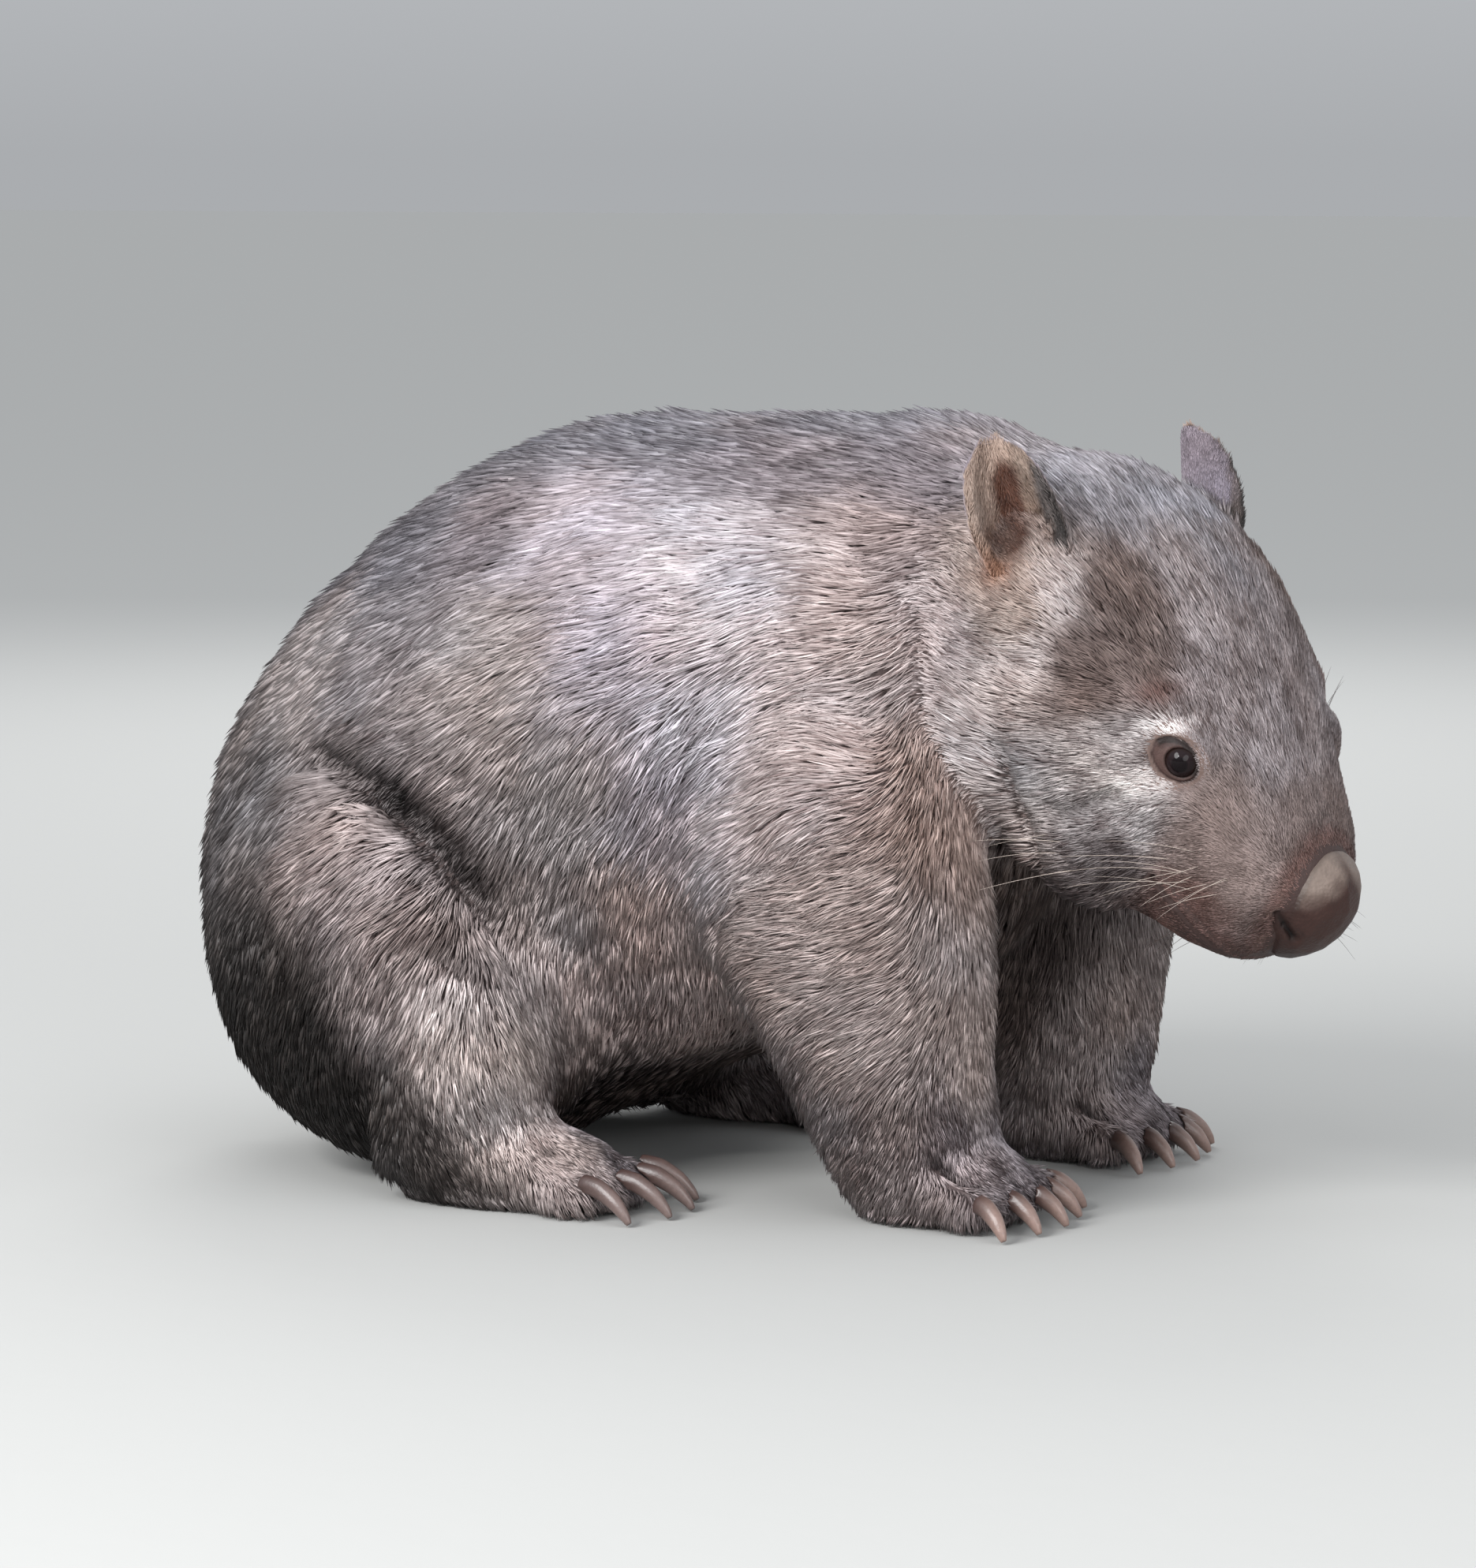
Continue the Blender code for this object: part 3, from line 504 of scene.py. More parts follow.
# Tones round the eye: how far ahead and above its middle, and how far each reaches along and across
EYE_PATCHES = (
    ("lip", (-0.0240, 0.0150), (0.0100, 0.0050)),
    ("snout", (0.0130, -0.0040), (0.0080, 0.0060)),
    ("brow", (-0.0075, -0.0215), (0.0120, 0.0055)),
    ("brow", (-0.0118, 0.0086), (0.0100, 0.0036)),
)
# How those patches turn, from the line ahead towards the crown
EYE_PATCH_TURN = math.radians(42)

# The eyeball's faces round and up it, and how soft the edges of its pupil and iris are
EYE_SEGMENTS = (48, 32)
PUPIL_SOFT = 0.0006
IRIS_SOFT = 0.0008

# Distances from the nose pad: where the coat starts and is full, and then where bare skin, brown skin,
# dark skin and the lips' tone start to fade and end
NOSE_THIN = (0.0005, 0.0070)
NOSE_BARE = (0.0015, 0.0055)
NOSE_BROWN = (0.008, 0.016)
NOSE_DARK = (0.0045, 0.0075)
NOSE_LIP = (0.005, 0.014)
# The share of its length that the hair has at the pad, how far round the pad all this is worked out, and
# how deep the skin lies under it
NOSE_SHORT = 0.5
NOSE_SPACE = 0.02
NOSE_UNDER = 0.0015
# Distances from the mouth's line, in the same way: the coat, bare skin and dark skin
LIP_THIN = (0.0010, 0.0070)
LIP_BARE = (0.0020, 0.0045)
LIP_DARK = (0.0015, 0.006)
# The soles: skin below this height that faces down more than this
SOLE_HEIGHT = 0.006
SOLE_FACES = -0.3

# The mouth's line in the head's frame, on the left from under the nose to its corner
MOUTH_AT = Vector((0.190, 0.0, -0.048))
MOUTH_SLOPE = math.radians(14)
MOUTH_BACK = 0.150
MOUTH_TURN = math.radians(96)
MOUTH_STEPS = 40

# The lips' groove, and the swell beside it
MOUTH_DEEP = 0.0026
MOUTH_HALF = 0.0011
LIP_SWELL = 0.0007
LIP_SWELL_AT = 0.0030
LIP_SWELL_HALF = 0.0016

# Folds of the skin on the left: line, depth, half-width and the darkness of the shade painted along them; the
# last two lie in the head's frame
THIGH_FOLD = ((-0.180, 0.140, 0.202), (-0.158, 0.148, 0.196), (-0.138, 0.153, 0.184))
CREASE = (
    (-0.138, 0.153, 0.184), (-0.113, 0.155, 0.167), (-0.097, 0.154, 0.149), (-0.075, 0.157, 0.129),
    (-0.060, 0.162, 0.110), (-0.051, 0.164, 0.090), (-0.045, 0.160, 0.066),
)
KNEE_FOLD = ((-0.102, 0.167, 0.117), (-0.085, 0.169, 0.108), (-0.068, 0.166, 0.099))
CHEEK_FOLD = ((0.112, 0.067, -0.018), (0.106, 0.073, -0.032), (0.100, 0.077, -0.042))
JAW_FOLD = (
    (0.066, 0.091, -0.038), (0.077, 0.089, -0.043), (0.089, 0.079, -0.056), (0.100, 0.075, -0.063),
    (0.111, 0.067, -0.074),
)
BODY_FOLDS = (
    (THIGH_FOLD, 0.0040, 0.008, 0.75),
    (CREASE, 0.0110, 0.011, 1.0),
    (KNEE_FOLD, 0.0035, 0.006, 0.8),
)
HEAD_FOLDS = ((CHEEK_FOLD, 0.0018, 0.0036, 0.55), (JAW_FOLD, 0.0024, 0.0060, 0.6))
# How much wider their painted shade is, how dark it makes the coat at most, and how much shorter its hair
FOLD_SHADE_WIDE = 1.2
DARKEST = 0.85
FOLD_SHORT = 0.45
# How far along a hair its middle lies, where it shows
HAIR_MIDDLE = 0.5

# Grooves between toes: depth, half-width and the darkness of the shade painted in them, and where they start
# and end, from between the roots of two claws
TOE_GROOVE = (0.0035, 0.0028, 0.8)
TOE_GROOVE_START = Vector((0.004, 0.0, -0.006))
TOE_GROOVE_END = Vector((-0.026, 0.0, 0.010))

# Nearby guides count for most: how far a turned surface counts as away, how evenly guides blend, how fast
# their share falls, and how many points are done at a time
TURN_REACH = 0.045
BODY_SOFT = 0.017
HEAD_SOFT = 0.0095
GUIDE_FALL = 2.5
BLEND_ROWS = 20000


def in_head(points):
    """World points as the head's frame sees them, one a row."""
    back = np.array(HEAD.inverted())
    return points @ back[:3, :3].T + back[:3, 3]


def mirrored(vector, side):
    return Vector((vector[0], vector[1] * side, vector[2]))


def from_head(point, side):
    """A point of the head's frame, given on the left, as a world point on either side."""
    return HEAD @ mirrored(point, side)


def head_way(way, side=1):
    """A way in the head's frame, given on the left, as a way in the world on either side."""
    return HEAD_TURN.to_3x3() @ mirrored(way, side)


def linear(colour):
    """A colour as seen, 0 to 255, as the light that it is."""
    c = np.asarray(colour, float) / 255
    return np.where(c <= 0.04045, c / 12.92, ((c + 0.055) / 1.055) ** 2.4)


def unit(vectors):
    return vectors / np.maximum(np.linalg.norm(vectors, axis=-1, keepdims=True), 1e-12)


def smooth_step(low, high, value):
    t = np.clip((value - low) / (high - low), 0, 1)
    return t * t * (3 - 2 * t)


def hump(away, half):
    """One at no distance, and smoothly less past about the half-width."""
    return np.exp(-((away / half) ** 2))


def lifted(low, share):
    """A number that rises from low to one with a share."""
    return low + (1 - low) * share


def mixed(one, other, share):
    """Colours between one and the other, by a share for each row."""
    return one + (other - one) * share[:, None]


def soft_noise(points, size, seed):
    """Smooth noise from -1 to 1 whose lumps are about size across."""
    table = np.random.default_rng(seed).random((NOISE_CELLS,) * 3) * 2 - 1
    scaled = points / size
    base = np.floor(scaled).astype(int)
    part = scaled - base
    part = part * part * (3 - 2 * part)
    total = np.zeros(len(points))
    for corner in np.ndindex(2, 2, 2):
        at = (base + corner) % NOISE_CELLS
        share = np.where(corner, part, 1 - part).prod(axis=1)
        total += table[at[:, 0], at[:, 1], at[:, 2]] * share
    return total


def lumps(points, name):
    """Soft noise of the size, strength and seed that have this name."""
    size, strength, seed = LUMPS[name]
    return soft_noise(points, size, seed) * strength


def numbers(collection, field, width, kind=np.float32):
    """A field of every vertex, edge or face of a mesh, as rows."""
    found = np.empty(len(collection) * width, kind)
    collection.foreach_get(field, found)
    return found.reshape(-1, width) if width > 1 else found


def vertex_places(mesh):
    return numbers(mesh.vertices, "co", 3).astype(float)


def vertex_normals(mesh):
    return numbers(mesh.vertex_normals, "vector", 3).astype(float)


def set_places(mesh, points):
    mesh.vertices.foreach_set("co", points.astype(np.float32).ravel())
    mesh.update()


def mesh_tree(mesh):
    return BVHTree.FromPolygons([v.co for v in mesh.vertices], [p.vertices for p in mesh.polygons])


def made_mesh(name, bm):
    """A bmesh as a mesh of its own."""
    mesh = bpy.data.meshes.new(name)
    bm.to_mesh(mesh)
    bm.free()
    return mesh


def finish_piece(obj, slot, *nodes):
    """Sets the piece on its body and hides the solids that it stands for; its slot is not used."""
    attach(obj, "root")
    if nodes:
        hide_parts(*nodes)


def link(name, mesh, material):
    obj = bpy.data.objects.new(name, mesh)
    bpy.context.scene.collection.objects.link(obj)
    mesh.materials.clear()
    mesh.materials.append(material)
    return obj


def paint(mesh, colours):
    """Stores a colour for each vertex, for the material to read."""
    layer = mesh.attributes.new("tint", "FLOAT_COLOR", "POINT")
    rows = np.ones((len(mesh.vertices), 4), np.float32)
    rows[:, :3] = colours
    layer.data.foreach_set("color", rows.ravel())


class Nodes:
    """A material and a short way to add nodes to it."""

    def __init__(self, name, roughness, specular=0.5):
        self.material = bpy.data.materials.new(name)
        self.material.use_nodes = True
        self.tree = self.material.node_tree
        self.shader = self.tree.nodes["Principled BSDF"]
        self.shader.inputs["Roughness"].default_value = roughness
        self.shader.inputs["Specular IOR Level"].default_value = specular

    def add(self, kind, **values):
        node = self.tree.nodes.new(kind)
        for name, value in values.items():
            setattr(node, name, value)
        return node

    def join(self, start, end):
        self.tree.links.new(start, end)

    def noise(self, scale, detail):
        """Noise on the object's coordinates."""
        place = self.add("ShaderNodeTexCoord")
        made = self.add("ShaderNodeTexNoise")
        made.inputs["Scale"].default_value = scale
        made.inputs["Detail"].default_value = detail
        self.join(place.outputs["Object"], made.inputs["Vector"])
        return made.outputs["Fac"]

    def tint_times(self, factor, low, high):
        """The painted colour, lighter and darker with a factor."""
        spread = self.add("ShaderNodeMapRange")
        spread.inputs["To Min"].default_value = low
        spread.inputs["To Max"].default_value = high
        tint = self.add("ShaderNodeAttribute", attribute_name="tint")
        mix = self.add("ShaderNodeVectorMath", operation="SCALE")
        self.join(factor, spread.inputs["Value"])
        self.join(tint.outputs["Color"], mix.inputs[0])
        self.join(spread.outputs["Result"], mix.inputs["Scale"])
        self.join(mix.outputs["Vector"], self.shader.inputs["Base Color"])

    def bump(self, height, strength, distance):
        made = self.add("ShaderNodeBump")
        made.inputs["Strength"].default_value = strength
        made.inputs["Distance"].default_value = distance
        self.join(height, made.inputs["Height"])
        self.join(made.outputs["Normal"], self.shader.inputs["Normal"])


def skin_material():
    made = Nodes("skin", roughness=0.62, specular=0.35)
    made.tint_times(made.noise(420, 4), 0.78, 1.22)
    made.bump(made.noise(1100, 3), 0.5, 0.0006)
    return made.material


def fur_material():
    made = Nodes("fur", roughness=0.50, specular=0.40)
    made.tint_times(made.noise(700, 2), 0.86, 1.14)
    return made.material


def nose_material():
    made = Nodes("nose_leather", roughness=0.50, specular=0.22)
    made.tint_times(made.noise(260, 5), 0.82, 1.18)
    place = made.add("ShaderNodeTexCoord")
    cells = made.add("ShaderNodeTexVoronoi", feature="SMOOTH_F1")
    cells.inputs["Scale"].default_value = 760
    made.join(place.outputs["Object"], cells.inputs["Vector"])
    made.bump(cells.outputs["Distance"], 0.55, 0.0005)
    return made.material


def horn_material():
    made = Nodes("claw_horn", roughness=0.36, specular=0.5)
    made.tint_times(made.noise(520, 4), 0.72, 1.28)
    made.bump(made.noise(900, 3), 0.35, 0.0003)
    return made.material


def whisker_material():
    made = Nodes("whisker_hair", roughness=0.40)
    made.tint_times(made.noise(300, 2), 0.85, 1.15)
    return made.material


def eye_material():
    made = Nodes("eye_wet", roughness=0.18, specular=0.0)
    made.shader.inputs["Coat Weight"].default_value = 0.28
    made.shader.inputs["Coat Roughness"].default_value = 0.02
    made.tint_times(made.noise(900, 3), 0.85, 1.15)
    return made.material


def merged_flesh():
    """The flesh, with eyes and nose filled in, as closed solids that overlap a little."""
    flesh = bpy.data.meshes.new("flesh")
    bm = bmesh.new()
    for name in FLESH + FILLING:
        start = len(bm.verts)
        bm.from_mesh(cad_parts[name].data)
        bm.verts.ensure_lookup_table()
        bmesh.ops.remove_doubles(bm, verts=bm.verts[start:], dist=MERGE)
    bm.normal_update()
    for vert in bm.verts:
        vert.co += vert.normal * GROW
    bm.to_mesh(flesh)
    tree = BVHTree.FromBMesh(bm)
    bm.free()
    return flesh, tree


def fused(mesh, grid, soften):
    """The mesh's closed solids as one even surface, softened by some steps."""
    obj = bpy.data.objects.new("fused", mesh)
    bpy.context.scene.collection.objects.link(obj)
    remesh = obj.modifiers.new("fuse", "REMESH")
    remesh.mode = "VOXEL"
    remesh.voxel_size = grid
    smooth = obj.modifiers.new("soften", "SMOOTH")
    smooth.iterations = soften
    graph = bpy.context.evaluated_depsgraph_get()
    made = bpy.data.meshes.new_from_object(obj.evaluated_get(graph))
    bpy.data.objects.remove(obj)
    bpy.data.meshes.remove(mesh)
    return made


def smoothed(points, edges, steps):
    """The rows eased towards their neighbours' mean, part of the way at each step."""
    count = np.bincount(edges.ravel(), minlength=len(points))[:, None]
    for _ in range(steps):
        total = np.empty_like(points)
        for axis in range(points.shape[1]):
            ends = points[edges, axis]
            total[:, axis] = np.bincount(edges[:, 0], ends[:, 1], len(points))
            total[:, axis] += np.bincount(edges[:, 1], ends[:, 0], len(points))
        points = points + (total / count - points) * EASE
    return points


def near_line(points, line):
    """Each point's distance from a line of straight steps."""
    best = np.full(len(points), np.inf)
    for start, end in zip(line, line[1:]):
        start, way = np.array(start), np.array(end) - np.array(start)
        along = np.clip((points - start) @ way / (way @ way), 0, 1)
        best = np.minimum(best, np.linalg.norm(points - start - along[:, None] * way, axis=1))
    return best


def mouth_line(tree):
    """Points along the lips, from one corner round under the nose to the other."""
    place = HEAD @ Matrix.Translation(MOUTH_AT) @ Matrix.Rotation(MOUTH_SLOPE, 4, "Y")
    middle = place @ Vector((MOUTH_BACK - MOUTH_AT.x, 0, 0))
    line = []
    for i in range(MOUTH_STEPS + 1):
        angle = MOUTH_TURN * (2 * i / MOUTH_STEPS - 1)
        way = place.to_3x3() @ Vector((math.cos(angle), math.sin(angle), 0))
        hit = tree.ray_cast(middle + way * 0.1, -way)[0]
        if hit is None:
            raise ValueError("the mouth's plane misses the muzzle")
        line.append(hit)
    return line


def eye_frames():
    """Each eye's side and centre, the way it faces, and the ways forward and up across it."""
    for name, side in SIDES.items():
        low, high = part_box("eye_" + name)
        faces = head_way(EYE_FACES, side).normalized()
        ahead = head_way((1, 0, 0))
        ahead = (ahead - faces * ahead.dot(faces)).normalized()
        up = faces.cross(ahead) * (1 if side < 0 else -1)
        yield name, (low + high) / 2, faces, ahead, up


def across_eye(points, centre, faces, ahead, up):
    """How far points lie ahead, above and out from an eye, and how far past its opening."""
    away = points - np.array(centre)
    x, y, out = (away @ np.array(way) for way in (ahead, up, faces))
    return x, y, out, past_oval(x, y, EYE_OPEN)


def past_oval(x, y, half):
    """How far points lie outside an oval with these half-widths."""
    return (np.hypot(x / half[0], y / half[1]) - 1) * (half[0] + half[1]) / 2


def refine(mesh, tree):
    """Cuts the mesh finer on the head, and again at the eyes and lips, and lays it on the flesh."""
    bm = bmesh.new()
    bm.from_mesh(mesh)
    back = HEAD.inverted()
    spots = [(centre, EYE_FINE) for _, centre, *_ in eye_frames()]
    spots += [(point, LIP_FINE) for point in mouth_line(tree)[::2]]
    for cut in range(2):
        near = set()
        for face in bm.faces:
            middle = face.calc_center_median()
            if (back @ middle).x < HEAD_FINE_FROM or middle.x < HEAD_FINE_AFTER:
                continue
            if cut == 0 or any((middle - at).length < reach for at, reach in spots):
                near.update(face.edges)
        bmesh.ops.subdivide_edges(bm, edges=list(near), cuts=1, use_grid_fill=True)
    bmesh.ops.triangulate(bm, faces=bm.faces)
    for vert in bm.verts:
        vert.co = tree.find_nearest(vert.co)[0]
    bm.to_mesh(mesh)
    bm.free()


def coat_guides(tree):
    """Where the coat is set out: places, the skin's way there, lie, length, tones, and how soft each is."""
    rows = []
    for side in SIDES.values():
        for at, lie, length, tone in BODY_COAT:
            rows.append((mirrored(at, side), mirrored(lie, side), length, tone, BODY_SOFT))
        for at, lie, length, tone in HEAD_COAT:
            rows.append((from_head(at, side), head_way(lie, side), length, tone, HEAD_SOFT))
    places, lies, lengths, names, soft = zip(*rows)
    places, turns = zip(*(tree.find_nearest(place)[:2] for place in places))
    lies = np.array([lie.normalized() for lie in lies])
    tones = np.array([[*linear(dark), *linear(pale), share] for dark, pale, share in map(TONES.get, names)])
    return np.array(places), np.array(turns), lies, np.array(lengths) / 1000, tones, np.array(soft)


def blend_guides(points, normals, guides):
    """The lie, length and tones at each point, from the guides near it."""
    places, turns, lies, lengths, tones, soft = guides
    values = np.column_stack((lies, lengths, tones))
    made = np.empty((len(points), values.shape[1]))
    for start in range(0, len(points), BLEND_ROWS):
        part = slice(start, start + BLEND_ROWS)
        away = ((points[part, None] - places) ** 2).sum(-1)
        away += TURN_REACH**2 * ((normals[part, None] - turns) ** 2).sum(-1)
        share = 1 / (away + soft**2) ** GUIDE_FALL
        made[part] = share @ values / share.sum(1, keepdims=True)
    return made


class Coat:
    """What the coat is like at each vertex of the skin."""

    def __init__(self, points, normals, labels, tree):
        made = blend_guides(points, normals, coat_guides(tree))
        self.lie, self.length = made[:, :3], made[:, 3]
        self.dark, self.pale, self.share = made[:, 4:7], made[:, 7:10], made[:, 10]
        self.label = labels
        self.bare = np.zeros(len(points))
        self.depth = LOFT * self.length
        self.marks = []
        lying = points + self.lie * (self.length * HAIR_MIDDLE)[:, None]
        # Painted shade along the folds and toe grooves darkens the coat, and its hair is shorter there
        for line, _, half, shade in fold_lines():
            away = near_line(lying, line)
            self.darken(shade * hump(away, half * FOLD_SHADE_WIDE))
            self.length *= 1 - FOLD_SHORT * hump(away, half)
        self.set_ears(points, normals)
        self.set_feet(points, normals)
        self.set_eyes(points)
        self.set_nose(points)
        self.set_lips(points, tree)
        # The skin starts a little darker than the dark hairs, as painted shade between tufts
        self.skin = self.dark * SKIN_SHADE
        for colour, amount in self.marks:
            self.skin = mixed(self.skin, linear(colour), amount)

    # Painted shade: darker dark and pale hairs, by an amount for each vertex
    def darken(self, amount):
        self.dark *= (1 - DARKEST * amount)[:, None]
        self.pale *= (1 - DARKEST * amount)[:, None]

    def mix_tone(self, tone, amount):
        """Moves the coat towards a tone, by an amount for each vertex."""
        dark, pale, share = TONES[tone]
        self.dark = mixed(self.dark, linear(dark), amount)
        self.pale = mixed(self.pale, linear(pale), amount)
        self.share = self.share + (share - self.share) * amount

    def set_skin(self, colour, amount):
        """Marks the skin for a move towards another colour, by an amount for each vertex."""
        self.marks.append((colour, amount))

    def set_ears(self, points, normals):
        """The ears' lavender backs, tan rims and narrow red-brown hollows, with painted shade along the cups'
        front edges and between them and the head.
        """
        for name, side in SIDES.items():
            up = np.array(head_way(EAR_UP, side))
            opens = np.array(head_way(EAR_OPENS, side).normalized())
            ahead = HEAD_AHEAD - up * (up @ HEAD_AHEAD)
            ahead = unit(ahead - opens * (ahead @ opens))
            ear = self.label == FLESH.index("ear_" + name)
            inside = smooth_step(-EAR_EDGE, EAR_EDGE, normals @ opens) * ear
            from_middle = points - points[ear].mean(axis=0)
            across, along = from_middle @ ahead, from_middle @ up
            hollow = hump(across - EAR_HOLLOW[0], EAR_HOLLOW[1]) * inside
            hollow *= 1 - smooth_step(*EAR_HOLLOW_TOP, along)
            # Painted shade along the cup's front edge, fading out higher up
            edge = inside * smooth_step(*EAR_EDGE_SHADE, across) * (1 - smooth_step(*EAR_EDGE_SHADE_TOP, along))
            rooted = inside * (1 - smooth_step(*EAR_ROOT_TOP, along))
            rooted = rooted * (1 - smooth_step(*EAR_ROOT_FRONT, across))
            self.mix_tone("ear_back", ear * 1.0)
            self.mix_tone("ear_rim", inside)
            self.mix_tone("ear_front", inside * smooth_step(*EAR_FRONT, across) * EAR_FRONT_SHARE)
            # The painted shade along the cup's front edge
            self.mix_tone("painted_shade", edge)
            self.mix_tone("ear_root", rooted * EAR_ROOT_SHARE)
            self.mix_tone("ear_cup", smooth_step(*EAR_CUP, hollow))
            self.length[ear] = EAR_HAIR + (EAR_RIM_HAIR - EAR_HAIR) * inside[ear]
            inward = np.clip((EAR_HOLLOW[0] - across) / EAR_HOLLOW[1], -1, 1) * inside
            self.lie[ear] = (up + ahead * inward[:, None] * EAR_INWARD)[ear]
            self.depth[ear] = EAR_DEPTH
            self.set_skin(EAR_SKIN, hollow)
            for tone, at, reach, share in EAR_PATCHES:
                away = np.linalg.norm(points - np.array(from_head(at, side)), axis=1)
                near = hump(away, reach) * share
                self.mix_tone(tone, near)
                self.length *= 1 - EAR_PATCH_SHORT * near

    def set_feet(self, points, normals):
        sole = (points[:, 2] < SOLE_HEIGHT) & (normals[:, 2] < SOLE_FACES)
        self.bare[sole] = 1
        self.depth[sole] = 0
        self.set_skin(SOLE_SKIN, sole * 1.0)

    def set_eyes(self, points):
        for _, centre, faces, ahead, up in eye_frames():
            x, y, out, past = across_eye(points, centre, faces, ahead, up)
            near = (out > -LID_SPACE / 2) & (abs(past) < LID_SPACE)
            past = np.where(near, past, LID_SPACE)
            line = np.where(near, past_oval(x - LID_LINE_AT[0], y - LID_LINE_AT[1], LID_LINE), LID_SPACE)
            line = line + lumps(points, "lid")
            thin = smooth_step(*EYE_THIN, past)
            self.bare = np.maximum(self.bare, 1 - smooth_step(*LID_BARE, line))
            self.depth *= thin
            self.length *= lifted(EYE_SHORT, thin)
            for tone, at, reach in EYE_PATCHES:
                dx, dy = x - at[0], y - at[1]
                along = dx * math.cos(EYE_PATCH_TURN) + dy * math.sin(EYE_PATCH_TURN)
                aside = dy * math.cos(EYE_PATCH_TURN) - dx * math.sin(EYE_PATCH_TURN)
                patch = np.exp(-((along / reach[0]) ** 2) - (aside / reach[1]) ** 2)
                self.mix_tone(tone, patch * (out > -LID_SPACE / 2))
            for colour, part, start, end in EYE_RINGS:
                ring = smooth_step(start - EYE_RING_SOFT, start, line)
                ring *= 1 - smooth_step(end - EYE_RING_SOFT, end + EYE_RING_SOFT, line)
                if part:
                    ring *= smooth_step(-EYE_PART_SOFT, EYE_PART_SOFT, (y - LID_LINE_AT[1]) * part)
                self.set_skin(colour, ring)
            self.set_skin(EYE_EDGE_SKIN, 1 - smooth_step(*EYE_EDGE, past))

    def set_nose(self, points):
        low, high = (np.array(corner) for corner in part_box("nose"))
        tree = node_tree("nose")
        near = np.flatnonzero(((points > low - NOSE_SPACE) & (points < high + NOSE_SPACE)).all(axis=1))
        away = np.full(len(points), 1.0)
        away[near] = [tree.find_nearest(point)[3] for point in points[near]]
        nose = self.label == len(FLESH)
        self.bare[nose] = 1
        self.depth[nose] = NOSE_UNDER
        thin = smooth_step(*NOSE_THIN, away)
        self.depth[~nose] *= thin[~nose]
        self.length *= lifted(NOSE_SHORT, thin)
        self.bare = np.maximum(self.bare, 1 - smooth_step(*NOSE_BARE, away))
        self.set_skin(MUZZLE_SKIN, 1 - smooth_step(*NOSE_BROWN, away))
        self.set_skin(LIP_SKIN, 1 - smooth_step(*NOSE_DARK, away))
        self.mix_tone("lip", 1 - smooth_step(*NOSE_LIP, away))
        seen = in_head(points)
        height = seen[:, 2] + (seen[:, 0] - LIP_FRONT) * LIP_SLOPE
        under = 1 - smooth_step(LIP_TOP - LIP_SOFT, LIP_TOP + LIP_SOFT, height)
        under *= smooth_step(LIP_REAR, LIP_REAR + LIP_REAR_SOFT, seen[:, 0])
        under *= self.label == FLESH.index("head")
        self.mix_tone("lip", under)
        self.set_skin(LIP_SKIN, under)
        self.length *= 1 - LIP_SHORT * under
        pit = nostril_pit(points)
        self.bare = np.maximum(self.bare, smooth_step(*NOSTRIL_BARE, pit))
        # Painted shade deep in the nostrils
        self.set_skin(NOSTRIL_SHADE, smooth_step(*NOSTRIL_DARK, pit))

    def set_lips(self, points, tree):
        away = near_line(points, mouth_line(tree))
        self.bare = np.maximum(self.bare, 1 - smooth_step(*LIP_BARE, away))
        self.depth *= smooth_step(*LIP_THIN, away)
        self.set_skin(LIP_SKIN, 1 - smooth_step(*LIP_DARK, away))


def nostril_pit(points):
    """How deep in a nostril each point is, from none to full."""
    slits = ([from_head(at, side) for at in NOSTRIL] for side in SIDES.values())
    return sum(hump(near_line(points, slit), NOSTRIL_HALF) for slit in slits)


def node_tree(name):
    return mesh_tree(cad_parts[name].data)


def node_labels(points):
    """Which flesh node each point is nearest to."""
    best = np.full(len(points), np.inf)
    label = np.zeros(len(points), int)
    for i, name in enumerate(FLESH + FILLING):
        low, high = (np.array(corner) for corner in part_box(name))
        near = np.flatnonzero(((points > low - LABEL_REACH) & (points < high + LABEL_REACH)).all(axis=1))
        tree = node_tree(name)
        away = np.array([tree.find_nearest(point)[3] for point in points[near]])
        closer = near[away < best[near]]
        best[closer] = away[away < best[near]]
        label[closer] = i
    return label


def fold_lines():
    """All the folds and the grooves between toes, with their depths, half-widths and the darkness of the
    shade painted along them.
    """
    for name, side in SIDES.items():
        for line, *sizes in BODY_FOLDS:
            yield [mirrored(at, side) for at in line], *sizes
        for line, *sizes in HEAD_FOLDS:
            yield [from_head(at, side) for at in line], *sizes
        for foot in ("fore", "hind"):
            claws = sorted(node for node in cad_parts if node.startswith(f"claw_{foot}_{name}_"))
            boxes = [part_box(node) for node in claws]
            roots = [Vector((low.x, (low.y + high.y) / 2, high.z)) for low, high in boxes]
            roots.sort(key=lambda root: root.y)
            for one, other in zip(roots, roots[1:]):
                middle = (one + other) / 2
                yield (middle + TOE_GROOVE_START, middle, middle + TOE_GROOVE_END), *TOE_GROOVE


def shape_folds(points, flesh, normals, tree):
    """The skin with its folds and the groove and swell of its lips pressed in, found where the flesh was."""
    push = np.zeros(len(points))
    for line, deep, half, _ in fold_lines():
        push += deep * hump(near_line(flesh, line), half)
    points = points - HEAD_AHEAD * (nostril_pit(flesh) * NOSTRIL_DEEP)[:, None]
    away = near_line(flesh, mouth_line(tree))
    push += MOUTH_DEEP * hump(away, MOUTH_HALF)
    push -= LIP_SWELL * hump(away - LIP_SWELL_AT, LIP_SWELL_HALF)
    return points - normals * push[:, None]


